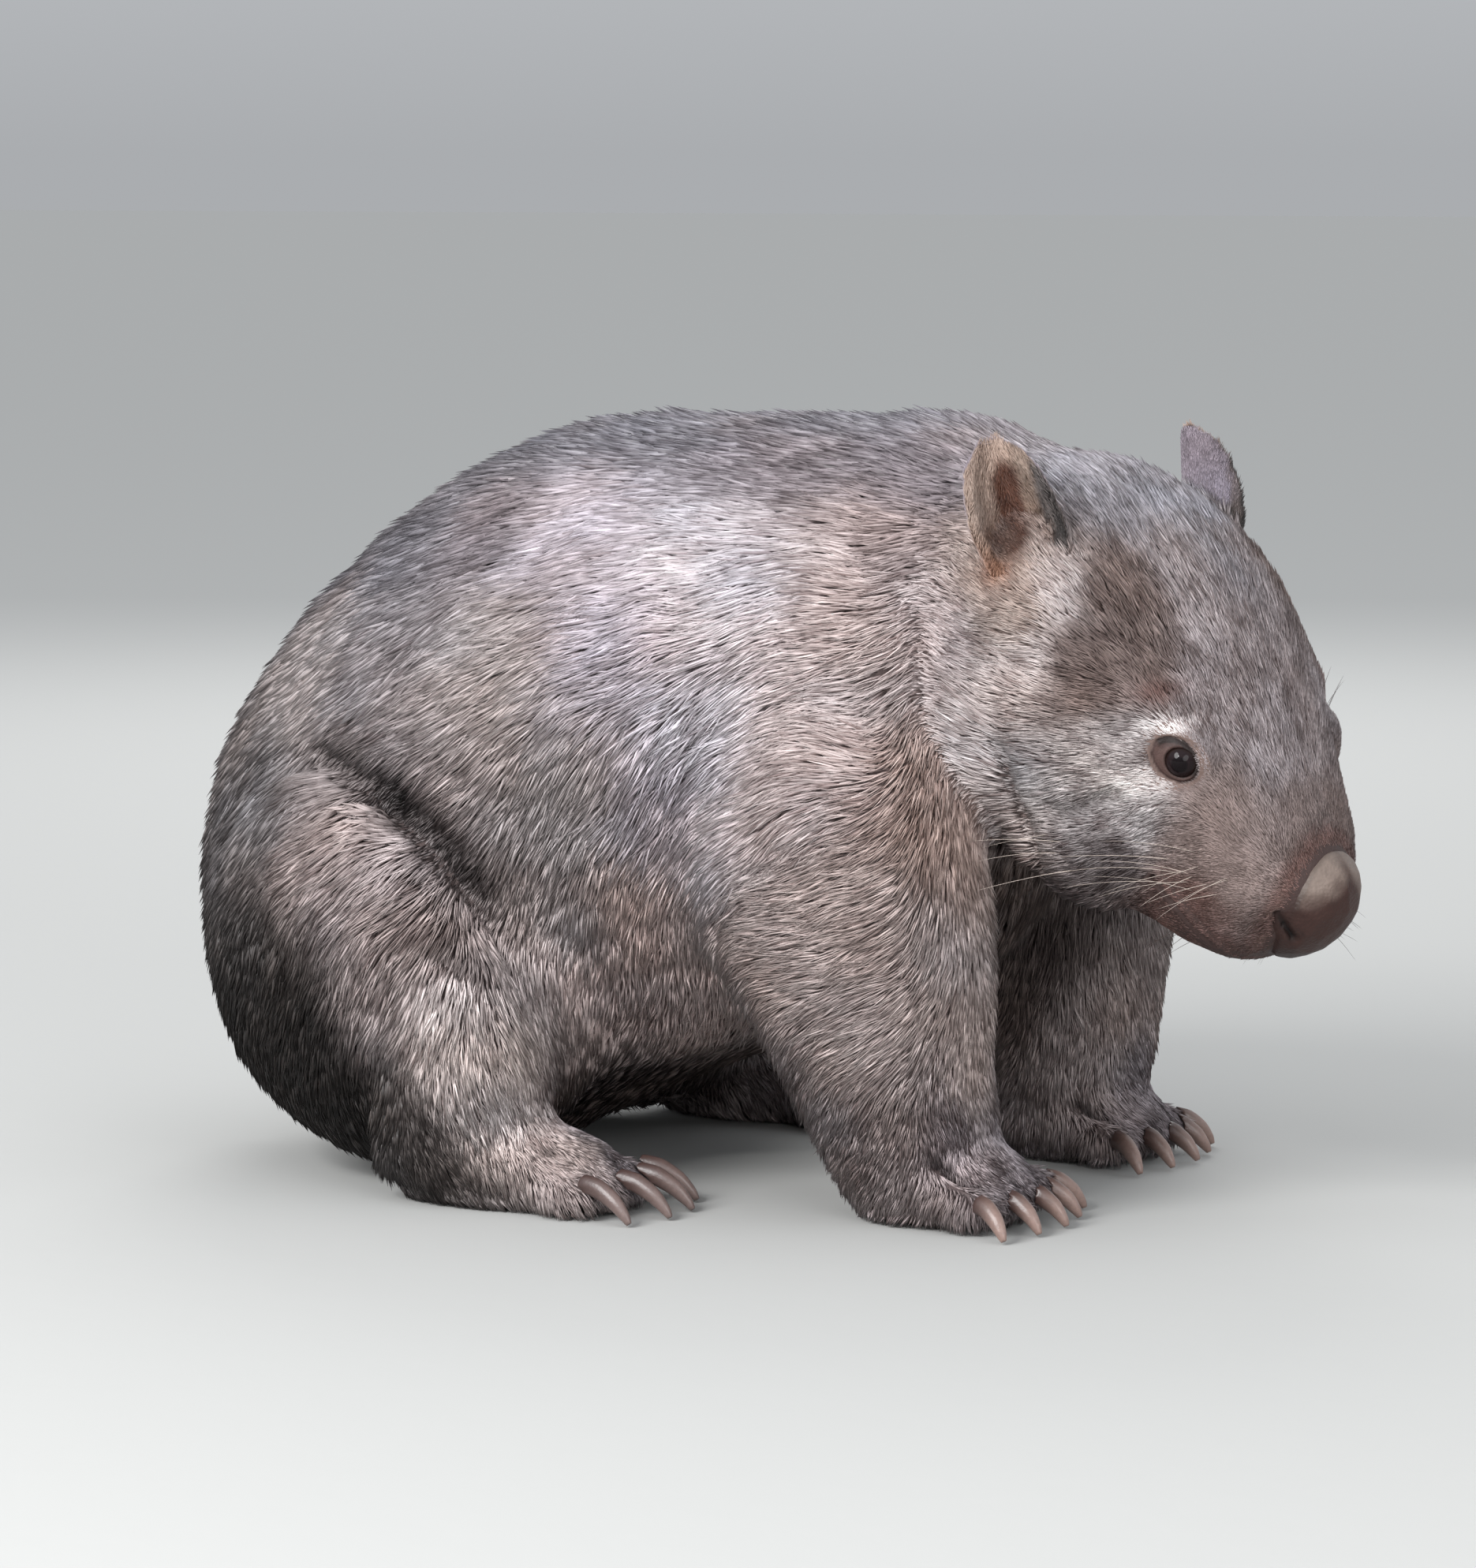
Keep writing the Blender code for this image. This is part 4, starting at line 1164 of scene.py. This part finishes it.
def shape_lids(points):
    """The skin round each eye raised into two lids and sunk under the eyeball."""
    for _, centre, faces, ahead, up in eye_frames():
        x, y, out, past = across_eye(points, centre, faces, ahead, up)
        line = past_oval(x - LID_LINE_AT[0], y - LID_LINE_AT[1], LID_LINE)
        rise = np.interp(past, LID_PAST, LID_HEIGHT) - LID_LINE_DEEP * hump(line, LID_LINE_HALF)
        share = (1 - smooth_step(*LID_REACH, past)) * (out > -LID_SPACE / 3)
        points = points + ((rise - out) * share)[:, None] * np.array(faces)
    return points


def store(mesh, name, rows):
    """Keeps a number, or three, for each vertex."""
    rows = np.asarray(rows, np.float32)
    if rows.ndim == 1:
        mesh.attributes.new(name, "FLOAT", "POINT").data.foreach_set("value", rows)
    else:
        mesh.attributes.new(name, "FLOAT_VECTOR", "POINT").data.foreach_set("vector", rows.ravel())


def stored(mesh, name):
    layer = mesh.attributes[name]
    if layer.data_type == "FLOAT":
        return numbers(layer.data, "value", 1).astype(float)
    return numbers(layer.data, "vector", 3).astype(float)


class OBJECT_OT_wombat_skin(bpy.types.Operator):
    """One skin for all the flesh, inside it by the coat's depth, with lids, lips and folds"""

    bl_idname = "object.wombat_skin"
    bl_label = "Skin"

    def execute(self, context):
        flesh, tree = merged_flesh()
        mesh = fused(flesh, SKIN_GRID, SOFTEN_STEPS)
        refine(mesh, tree)
        edges = numbers(mesh.edges, "vertices", 2, np.int32)
        points = smoothed(vertex_places(mesh), edges, EVEN_STEPS)
        set_places(mesh, points)
        normals = vertex_normals(mesh)
        coat = Coat(points, normals, node_labels(points), tree)
        depth = smoothed(coat.depth[:, None] + GROW, edges, SETTLE_STEPS)
        inner = smoothed(points - normals * depth, edges, SETTLE_STEPS)
        inner = shape_lids(shape_folds(inner, points, normals, tree))
        inner[:, 2] = np.maximum(inner[:, 2], FLOOR_GAP)
        set_places(mesh, inner)
        mesh.shade_smooth()
        skin = link("skin", mesh, skin_material())
        paint(mesh, coat.skin)
        finish_piece(skin, "coat", *FLESH)
        for name in COAT_FIELDS:
            store(mesh, name, getattr(coat, name))
        return {"FINISHED"}


def tuft_roots(mesh, count, rng):
    """Roots spread over the skin, closer where the hair is short, with all that the coat says there."""
    mesh.calc_loop_triangles()
    corners = numbers(mesh.loop_triangles, "vertices", 3, np.int32)
    points = vertex_places(mesh)
    fields = {name: stored(mesh, name) for name in COAT_FIELDS}
    fields["normal"] = vertex_normals(mesh)
    fields["root"] = points
    a, b, c = (points[corners[:, i]] for i in range(3))
    area = np.linalg.norm(np.cross(b - a, c - a), axis=1) / 2
    length = fields["length"][corners].mean(axis=1)
    hidden = (fields["normal"][corners].mean(axis=1)[:, 2] < HIDDEN_BELOW).astype(float)
    furred = 1 - fields["bare"][corners].mean(axis=1)
    weight = area * furred * (1 - hidden * HIDDEN_THIN) / (length * tuft_width(length))
    total = np.cumsum(weight)
    picks = (np.arange(count) + rng.random(count)) / count * total[-1]
    face = np.searchsorted(total, picks)
    first, second = rng.random((2, count))
    over = first + second > 1
    first, second = np.where(over, 1 - first, first), np.where(over, 1 - second, second)
    shares = np.stack((1 - first - second, first, second), axis=1)
    made = {}
    for name, rows in fields.items():
        if name == "label":
            made[name] = rows[corners[face, 0]].astype(int)
        elif rows.ndim == 1:
            made[name] = (rows[corners[face]] * shares).sum(axis=1)
        else:
            made[name] = (rows[corners[face]] * shares[:, :, None]).sum(axis=1)
    return made


def tuft_width(length):
    return WIDTH_FROM + WIDTH_GAIN * length


def lock_of(roots, size):
    """Which lock each root belongs to, in cells of a warped grid, and each lock's middle."""
    warp_size, warp_strength = LOCK_WARP
    warp = np.stack([soft_noise(roots, size * warp_size, seed) for seed in LOCK_SEEDS], axis=1)
    cells = np.floor((roots + warp * size * warp_strength) / size).astype(int)
    _, lock = np.unique(cells, axis=0, return_inverse=True)
    lock = lock.ravel()
    count = np.bincount(lock)
    middle = np.stack([np.bincount(lock, roots[:, i]) / count for i in range(3)], axis=1)
    return lock, middle


def drawn(rng, span, count):
    """Random numbers over a span, given as the least and how much is added at most."""
    return span[0] + span[1] * rng.random(count)


def onwards(start, lie, normal, far, pitch):
    """Points some way on from others along the lie, at a pitch over the skin."""
    return start + lie * (far * np.cos(pitch))[:, None] + normal * (far * np.sin(pitch))[:, None]


def grow_tufts(made, look, rng):
    """Each tuft's four points and their colours."""
    root, length, normal = made["root"], made["length"], unit(made["normal"])
    count = len(root)
    lie = unit(made["lie"] - normal * (made["lie"] * normal).sum(axis=1, keepdims=True))
    lock, middle = lock_of(root, look.lock)
    swirl = lumps(root, "swirl") + lumps(root, "small_swirl")
    swirl += (rng.random(len(middle)) - 0.5)[lock] * LOCK_TURN + rng.normal(0, look.stray, count)
    lie = lie * np.cos(swirl)[:, None] + np.cross(normal, lie) * np.sin(swirl)[:, None]
    across = np.cross(normal, lie)
    length = length * drawn(rng, TUFT_LONG, count) * drawn(rng, LOCK_LONG, len(middle))[lock]
    pitch = look.pitch * drawn(rng, TUFT_STEEP, count) + lumps(root, "steep")
    half = tuft_width(length) * drawn(rng, TUFT_HALF, count)
    start = root - normal * ROOT_SUNK
    bend_at = length * BEND_SHARE
    bend = onwards(start, lie, normal, bend_at, pitch * ROOT_RISE)
    tip = onwards(bend, lie, normal, length - bend_at, pitch * TIP_RISE)
    pull = middle[lock] - root
    pull -= lie * (pull * lie).sum(axis=1, keepdims=True)
    pull *= smooth_step(*LOCK_FROM, made["length"])[:, None]
    tip = tip + pull * look.gather
    bend = bend + pull * look.gather * BEND_GATHER
    roll = rng.normal(0, look.roll, count)
    side = (across * np.cos(roll)[:, None] + normal * np.sin(roll)[:, None]) * half[:, None]
    points = np.stack((start, bend - side, bend + side, tip), axis=1)
    points[:, :, 2] = np.maximum(points[:, :, 2], FLOOR_GAP)
    return points, tuft_colours(made, lock, rng)


def tuft_colours(made, lock, rng):
    """The colours of each tuft's four points, patchy and different from lock to lock, with roots darkened as
    painted shade.
    """
    root, dark, pale = made["root"], made["dark"], made["pale"]
    patch = lumps(root, "patch") + lumps(root, "small_patch")
    patch += (rng.random(lock.max() + 1) - 0.5)[lock] * LOCK_PALE
    share = np.clip(made["share"] + patch + rng.normal(0, TUFT_PALE, len(root)), 0, 1)
    shade = drawn(rng, TUFT_SHADE, len(root))[:, None]
    shade = shade * (1 + HUE_SWING * lumps(root, "hue")[:, None])
    at_bend = mixed(dark, pale, share * BEND_PALE) * shade
    at_tip = mixed(dark, pale, share) * shade
    # The root is darker as painted shade among the roots
    return np.stack((dark * ROOT_SHADE, at_bend, at_bend, at_tip), axis=1)


def bake_places(roots, normals):
    """Each root's place on an unwrap of this part of the skin: six charts, one for each way it faces."""
    every = np.arange(len(roots))
    way = np.abs(normals).argmax(axis=1)
    chart = way * 2 + (normals[every, way] > 0)
    span = (roots.max(axis=0) - roots.min(axis=0)).max()
    flat = (roots - roots.min(axis=0)) / span
    sides = np.array(((1, 2), (0, 2), (0, 1)))[way]
    spot = np.stack((flat[every, sides[:, 0]], flat[every, sides[:, 1]]), axis=1)
    cell = np.stack((chart % CHART_GRID[0], chart // CHART_GRID[0]), axis=1)
    return (cell + CHART_MARGIN + spot * (1 - 2 * CHART_MARGIN)) / CHART_GRID


def tuft_mesh(name, points, colours, places):
    """All the tufts of one piece joined, each a closed body of four triangles."""
    count = len(points)
    faces = (np.arange(count)[:, None, None] * 4 + np.array(TUFT_FACES)).reshape(-1, 3)
    mesh = bpy.data.meshes.new(name)
    mesh.vertices.add(count * 4)
    mesh.vertices.foreach_set("co", points.astype(np.float32).ravel())
    mesh.loops.add(faces.size)
    mesh.loops.foreach_set("vertex_index", faces.astype(np.int32).ravel())
    mesh.polygons.add(len(faces))
    mesh.polygons.foreach_set("loop_start", np.arange(0, faces.size, 3, dtype=np.int32))
    mesh.update(calc_edges=True)
    mesh.shade_smooth()
    paint(mesh, colours.reshape(-1, 3))
    spots = (places[:, None] + np.array(TUFT_PATCH) * PATCH_SIZE).reshape(-1, 2)
    layer = mesh.uv_layers.new(name="OFBake")
    layer.uv.foreach_set("vector", spots[faces.ravel()].astype(np.float32).ravel())
    return mesh


def coat_parts(made):
    """The coat's pieces: a name and which roots it has."""
    for side, sign in SIDES.items():
        for name, nodes in COAT_GROUPS.items():
            owned = np.isin(made["label"], [FLESH.index(node.format(side)) for node in nodes])
            place = in_head(made["root"]) if name == "head" else made["root"]
            owned &= place[:, 1] * sign > 0
            for zone, (low, high) in COAT_ZONES.get(name, {name: (-1.0, 1.0)}).items():
                yield f"coat_{zone}_{side}", owned & (place[:, 0] > low) & (place[:, 0] <= high)


def thin_skin(skin):
    """Makes the skin coarser where the coat hides it, now that the coat has grown from it."""
    covered = np.flatnonzero(stored(skin.data, "bare") < SKIN_SEEN_FROM)
    skin.vertex_groups.new(name="covered").add(covered.tolist(), 1.0, "REPLACE")
    thin = skin.modifiers.new("thin", "DECIMATE")
    thin.ratio = SKIN_SHARE
    thin.vertex_group = "covered"
    graph = bpy.context.evaluated_depsgraph_get()
    mesh = bpy.data.meshes.new_from_object(skin.evaluated_get(graph))
    full = skin.data
    skin.modifiers.clear()
    skin.vertex_groups.clear()
    skin.data = mesh
    bpy.data.meshes.remove(full)
    for name in COAT_FIELDS:
        mesh.attributes.remove(mesh.attributes[name])


class OBJECT_OT_wombat_coat(bpy.types.Operator):
    """The coat: tufts that lie along the body, joined in one piece for each part of it"""

    bl_idname = "object.wombat_coat"
    bl_label = "Coat"

    def execute(self, context):
        look = context.scene.wombat_coat
        rng = np.random.default_rng(look.seed)
        mesh = bpy.data.objects["skin"].data
        made = tuft_roots(mesh, look.tufts, rng)
        points, colours = grow_tufts(made, look, rng)
        fur = fur_material()
        taken = np.zeros(len(points), bool)
        for name, where in coat_parts(made):
            where &= ~taken
            taken |= where
            places = bake_places(made["root"][where], made["normal"][where])
            obj = link(name, tuft_mesh(name, points[where], colours[where], places), fur)
            finish_piece(obj, "coat")
        thin_skin(bpy.data.objects["skin"])
        return {"FINISHED"}


def node_copy(name):
    """A node's solid as a bmesh of joined faces."""
    bm = bmesh.new()
    bm.from_mesh(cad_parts[name].data)
    bmesh.ops.remove_doubles(bm, verts=bm.verts, dist=MERGE)
    bm.normal_update()
    return bm


class OBJECT_OT_wombat_eyes(bpy.types.Operator):
    """Dark, wet eyes with a brown iris round a wide pupil"""

    bl_idname = "object.wombat_eyes"
    bl_label = "Eyes"

    def execute(self, context):
        look = context.scene.wombat_eyes
        wet = eye_material()
        for name, centre, faces, *_ in eye_frames():
            low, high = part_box("eye_" + name)
            radius = max(high - low) / 2
            bm = bmesh.new()
            around, upwards = EYE_SEGMENTS
            bmesh.ops.create_uvsphere(bm, u_segments=around, v_segments=upwards, radius=radius)
            tilt = faces.to_track_quat("Z", "Y").to_matrix().to_4x4()
            for vert in bm.verts:
                away = math.hypot(vert.co.x, vert.co.y)
                if vert.co.z > 0 and away < look.cornea:
                    vert.co.z += look.bulge * (1 - (away / look.cornea) ** 2) ** 2
            bmesh.ops.transform(bm, matrix=Matrix.Translation(centre) @ tilt, verts=bm.verts)
            mesh = made_mesh("eyeball_" + name, bm)
            mesh.shade_smooth()
            points = vertex_places(mesh) - np.array(centre)
            out = points @ np.array(faces)
            away = np.linalg.norm(points - out[:, None] * np.array(faces), axis=1)
            iris = smooth_step(look.pupil, look.pupil + PUPIL_SOFT, away)
            rim = smooth_step(look.iris - IRIS_SOFT, look.iris, away)
            colour = mixed(linear(PUPIL), np.array(look.iris_colour), iris)
            paint(mesh, mixed(colour, linear(EYE_RIM), rim))
            finish_piece(link(mesh.name, mesh, wet), "eye_brown", "eye_" + name)
        return {"FINISHED"}


class OBJECT_OT_wombat_nose(bpy.types.Operator):
    """The nose's leather pad with its nostrils"""

    bl_idname = "object.wombat_nose"
    bl_label = "Nose"

    def execute(self, context):
        bm = node_copy("nose")
        for vert in bm.verts:
            vert.co += vert.normal * NOSE_GROW
        middle, radii = NOSE_FILL
        place = HEAD @ Matrix.Translation(middle) @ Matrix.Diagonal((*radii, 1.0))
        bmesh.ops.create_icosphere(bm, subdivisions=4, radius=1.0, matrix=place)
        mesh = fused(made_mesh("nose_pad", bm), NOSE_GRID, NOSE_SOFTEN)
        mesh.name = "nose_pad"
        points = vertex_places(mesh)
        # Painted light on the pad's upper part, painted shade on its lower part and where it turns away from
        # the front
        seen = in_head(points)
        height = seen[:, 2] + NOSE_SHADE_ASIDE * abs(seen[:, 1]) + lumps(points, "nose")
        colour = mixed(linear(NOSE_SHADED_LOW), linear(NOSE_LIT_TOP), smooth_step(*NOSE_SHADE_SPAN, height))
        ahead = vertex_normals(mesh) @ np.array(head_way(NOSE_FRONT).normalized())
        colour *= lifted(NOSE_EDGE_SHADE, smooth_step(*NOSE_EDGE, ahead))[:, None]
        # Painted shade deep in the nostrils
        pit = nostril_pit(points)
        paint(mesh, mixed(colour, linear(NOSTRIL_SHADE), pit))
        set_places(mesh, points - HEAD_AHEAD * pit[:, None] * NOSTRIL_DEEP)
        mesh.shade_smooth()
        finish_piece(link("nose_pad", mesh, nose_material()), "nose_skin", "nose")
        return {"FINISHED"}


class OBJECT_OT_wombat_claws(bpy.types.Operator):
    """Smooth horn claws, dark at the root"""

    bl_idname = "object.wombat_claws"
    bl_label = "Claws"

    def execute(self, context):
        horn = horn_material()
        for node in (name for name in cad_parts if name.startswith("claw_")):
            bm = node_copy(node)
            bmesh.ops.subdivide_edges(bm, edges=bm.edges, cuts=CLAW_CUTS, use_grid_fill=True)
            bmesh.ops.triangulate(bm, faces=bm.faces)
            for _ in range(CLAW_SMOOTH_STEPS):
                bmesh.ops.smooth_vert(
                    bm, verts=bm.verts, factor=0.5, use_axis_x=True, use_axis_y=True, use_axis_z=True
                )
            mesh = made_mesh(node.replace("claw_", "horn_"), bm)
            mesh.shade_smooth()
            reach = vertex_places(mesh)[:, 0]
            along = smooth_step(reach.min(), reach.max(), reach)
            tip = linear(CLAW_TIPS[node.split("_")[1]])
            paint(mesh, mixed(linear(CLAW_ROOT), tip, along))
            finish_piece(link(mesh.name, mesh, horn), "horn", node)
        return {"FINISHED"}


def hair_tube(bm, points, radius):
    """A hair that tapers to its tip, along some points."""
    rings = []
    for i, at in enumerate(points[:-1]):
        way = (points[i + 1] - at).normalized().to_track_quat("Z", "Y").to_matrix().to_4x4()
        size = radius * (1 - i / len(points)) ** WHISKER_TAPER
        made = bmesh.ops.create_circle(
            bm, segments=WHISKER_SIDES, radius=size, cap_ends=False, matrix=Matrix.Translation(at) @ way
        )
        rings.append(made["verts"])
    for low, high in zip(rings, rings[1:]):
        edges = list({edge for ring in (low, high) for vert in ring for edge in vert.link_edges
                      if edge.other_vert(vert) in ring})
        bmesh.ops.bridge_loops(bm, edges=edges)
    tip = bm.verts.new(points[-1])
    last = rings[-1]
    for i, vert in enumerate(last):
        bm.faces.new((vert, last[(i + 1) % len(last)], tip))
    bm.faces.new(rings[0])
    bmesh.ops.recalc_face_normals(bm, faces=bm.faces)


class OBJECT_OT_wombat_whiskers(bpy.types.Operator):
    """Single long hairs beside the nose, on the cheek and over the eye"""

    bl_idname = "object.wombat_whiskers"
    bl_label = "Whiskers"

    def execute(self, context):
        rng = np.random.default_rng(WHISKER_SEED)
        tree = mesh_tree(bpy.data.objects["skin"].data)
        bm = bmesh.new()
        colours = []
        for side in SIDES.values():
            for at, way, length, number, spread, hair in WHISKERS:
                for _ in range(number):
                    place = Vector(at) + Vector(rng.uniform(-spread, spread, 3))
                    root = tree.find_nearest(from_head(place, side))[0]
                    aim = Vector(way) + Vector(rng.uniform(-WHISKER_STRAY, WHISKER_STRAY, 3))
                    aim = head_way(aim, side).normalized()
                    reach = length * rng.uniform(*WHISKER_LONG)
                    droop = Vector((0, 0, -1)) * reach * rng.uniform(*WHISKER_DROOP)
                    along = np.linspace(0, 1, WHISKER_STEPS)
                    points = [root + aim * (reach * t - WHISKER_SUNK) + droop * t * t for t in along]
                    hair_tube(bm, points, WHISKER_RADIUS * rng.uniform(*WHISKER_THICK))
                    colours += [linear(WHISKER_HAIRS[hair])] * (len(bm.verts) - len(colours))
        mesh = made_mesh("whiskers", bm)
        mesh.shade_smooth()
        paint(mesh, np.array(colours))
        finish_piece(link("whiskers", mesh, whisker_material()), "coat")
        return {"FINISHED"}


def area_light(name, at, size, power, aim):
    light = bpy.data.lights.new(name, "AREA")
    light.shape = "DISK"
    light.size = size
    light.energy = power
    obj = bpy.data.objects.new(name, light)
    obj.location = at
    obj.rotation_euler = (Vector(at) - Vector(aim)).to_track_quat("Z", "Y").to_euler()
    bpy.context.scene.collection.objects.link(obj)


def soft_surround(look):
    """Light from all round, dimmer at the horizon."""
    world = bpy.data.worlds.new("studio")
    world.use_nodes = True
    nodes, links = world.node_tree.nodes, world.node_tree.links
    height = nodes.new("ShaderNodeSeparateXYZ")
    links.new(nodes.new("ShaderNodeTexCoord").outputs["Generated"], height.inputs["Vector"])
    ramp = nodes.new("ShaderNodeValToRGB")
    for place, share in zip(ramp.color_ramp.elements, SKY_SHARES):
        place.color = (*(part * share for part in look.sky_colour), 1)
    ramp.color_ramp.elements[1].position = SKY_FULL
    links.new(height.outputs["Z"], ramp.inputs["Fac"])
    links.new(ramp.outputs["Color"], nodes["Background"].inputs["Color"])
    nodes["Background"].inputs["Strength"].default_value = look.sky
    return world


def photo_camera(look):
    """A camera that stands where the photograph was taken from."""
    camera = bpy.data.cameras.new("camera")
    camera.lens = CAMERA_LENS
    camera.sensor_width = CAMERA_SENSOR
    obj = bpy.data.objects.new("camera", camera)
    level = math.cos(look.above)
    back = Vector((math.sin(look.around) * level, -math.cos(look.around) * level, math.sin(look.above)))
    obj.location = Vector(CAMERA_LOOK) + back * CAMERA_AWAY
    obj.rotation_euler = back.to_track_quat("Z", "Y").to_euler()
    bpy.context.scene.collection.objects.link(obj)
    return obj


class OBJECT_OT_wombat_stage(bpy.types.Operator):
    """A pale floor, soft light and the camera"""

    bl_idname = "object.wombat_stage"
    bl_label = "Stage"

    def execute(self, context):
        look = context.scene.wombat_stage
        bm = bmesh.new()
        bmesh.ops.create_grid(bm, x_segments=1, y_segments=1, size=look.floor / 2)
        pale = Nodes("floor_paint", roughness=1.0, specular=0.0)
        pale.shader.inputs["Base Color"].default_value = (*look.floor_colour, 1)
        pale.bump(pale.noise(40, 4), 0.1, 0.002)
        link("floor", made_mesh("floor", bm), pale.material)
        context.scene.view_settings.view_transform = "Standard"
        context.scene.world = soft_surround(look)
        for name, at, size, power in STUDIO_LIGHTS:
            area_light(name, at, size, power * look.light, CAMERA_LOOK)
        context.scene.camera = photo_camera(look)
        return {"FINISHED"}


class WombatCoatLook(bpy.types.PropertyGroup):
    """How the coat grows"""

    tufts: bpy.props.IntProperty(name="Tufts", description="Tufts all over the body", default=TUFTS, min=1000)
    lock: bpy.props.FloatProperty(
        name="Lock", description="Width of the locks that tufts gather in", default=0.0048, unit="LENGTH"
    )
    gather: bpy.props.FloatProperty(
        name="Gather", description="How far tips lean to their lock's middle", default=0.45, subtype="FACTOR"
    )
    stray: bpy.props.FloatProperty(
        name="Stray", description="How far single tufts turn from the lie", default=0.10, subtype="ANGLE"
    )
    roll: bpy.props.FloatProperty(
        name="Roll", description="How far tufts turn about their own length", default=0.20, subtype="ANGLE"
    )
    pitch: bpy.props.FloatProperty(
        name="Pitch", description="How steeply tufts rise from the skin", default=0.33, subtype="ANGLE"
    )
    seed: bpy.props.IntProperty(name="Seed", description="Start of the coat's random draws", default=7)


class WombatEyeLook(bpy.types.PropertyGroup):
    """How the eyes look"""

    pupil: bpy.props.FloatProperty(
        name="Pupil", description="Radius of the pupil", default=0.0034, unit="LENGTH", precision=4
    )
    iris: bpy.props.FloatProperty(
        name="Iris", description="Radius of the iris", default=0.0064, unit="LENGTH", precision=4
    )
    cornea: bpy.props.FloatProperty(
        name="Cornea", description="Radius of the clear front", default=0.0062, unit="LENGTH", precision=4
    )
    bulge: bpy.props.FloatProperty(
        name="Bulge", description="How far the clear front stands out", default=0.0004,
        unit="LENGTH", precision=4,
    )
    iris_colour: bpy.props.FloatVectorProperty(
        name="Iris colour", description="Brown of the iris", default=(0.013, 0.008, 0.009), subtype="COLOR"
    )


class WombatStageLook(bpy.types.PropertyGroup):
    """The floor, the light and where the camera stands"""

    floor: bpy.props.FloatProperty(name="Floor", description="Side of the floor", default=80.0, unit="LENGTH")
    floor_colour: bpy.props.FloatVectorProperty(
        name="Floor colour", description="Pale floor", default=(0.40, 0.40, 0.39), subtype="COLOR"
    )
    sky_colour: bpy.props.FloatVectorProperty(
        name="Surround", description="Colour of the soft light all round",
        default=(0.93, 0.96, 1.0), subtype="COLOR",
    )
    sky: bpy.props.FloatProperty(name="Surround strength", description="Strength of that light", default=1.1)
    light: bpy.props.FloatProperty(name="Lamps", description="Strength of the lamps", default=1.0)
    around: bpy.props.FloatProperty(
        name="Around", description="Camera's turn from the right side to the front",
        default=math.radians(25), subtype="ANGLE",
    )
    above: bpy.props.FloatProperty(
        name="Above", description="Camera's rise over level", default=math.radians(6), subtype="ANGLE"
    )


OPERATORS = (
    OBJECT_OT_wombat_skin,
    OBJECT_OT_wombat_coat,
    OBJECT_OT_wombat_eyes,
    OBJECT_OT_wombat_nose,
    OBJECT_OT_wombat_claws,
    OBJECT_OT_wombat_whiskers,
    OBJECT_OT_wombat_stage,
)
LOOKS = {"wombat_coat": WombatCoatLook, "wombat_eyes": WombatEyeLook, "wombat_stage": WombatStageLook}


class VIEW3D_PT_wombat(bpy.types.Panel):
    """The wombat's pieces, in the order they are made"""

    bl_idname = "VIEW3D_PT_wombat"
    bl_label = "Wombat"
    bl_space_type = "VIEW_3D"
    bl_region_type = "UI"
    bl_category = "Wombat"

    def draw(self, context):
        for operator in OPERATORS:
            self.layout.operator(operator.bl_idname)
        for name, kind in LOOKS.items():
            box = self.layout.box()
            for value in kind.__annotations__:
                box.prop(getattr(context.scene, name), value)


def register():
    for kind in (*LOOKS.values(), *OPERATORS, VIEW3D_PT_wombat):
        bpy.utils.register_class(kind)
    for name, kind in LOOKS.items():
        setattr(bpy.types.Scene, name, bpy.props.PointerProperty(type=kind))


def unregister():
    for name in LOOKS:
        delattr(bpy.types.Scene, name)
    for kind in (VIEW3D_PT_wombat, *reversed(OPERATORS), *LOOKS.values()):
        bpy.utils.unregister_class(kind)


def main():
    register()
    for operator in OPERATORS:
        group, name = operator.bl_idname.split(".")
        getattr(getattr(bpy.ops, group), name)()


if __name__ == "__main__":
    main()
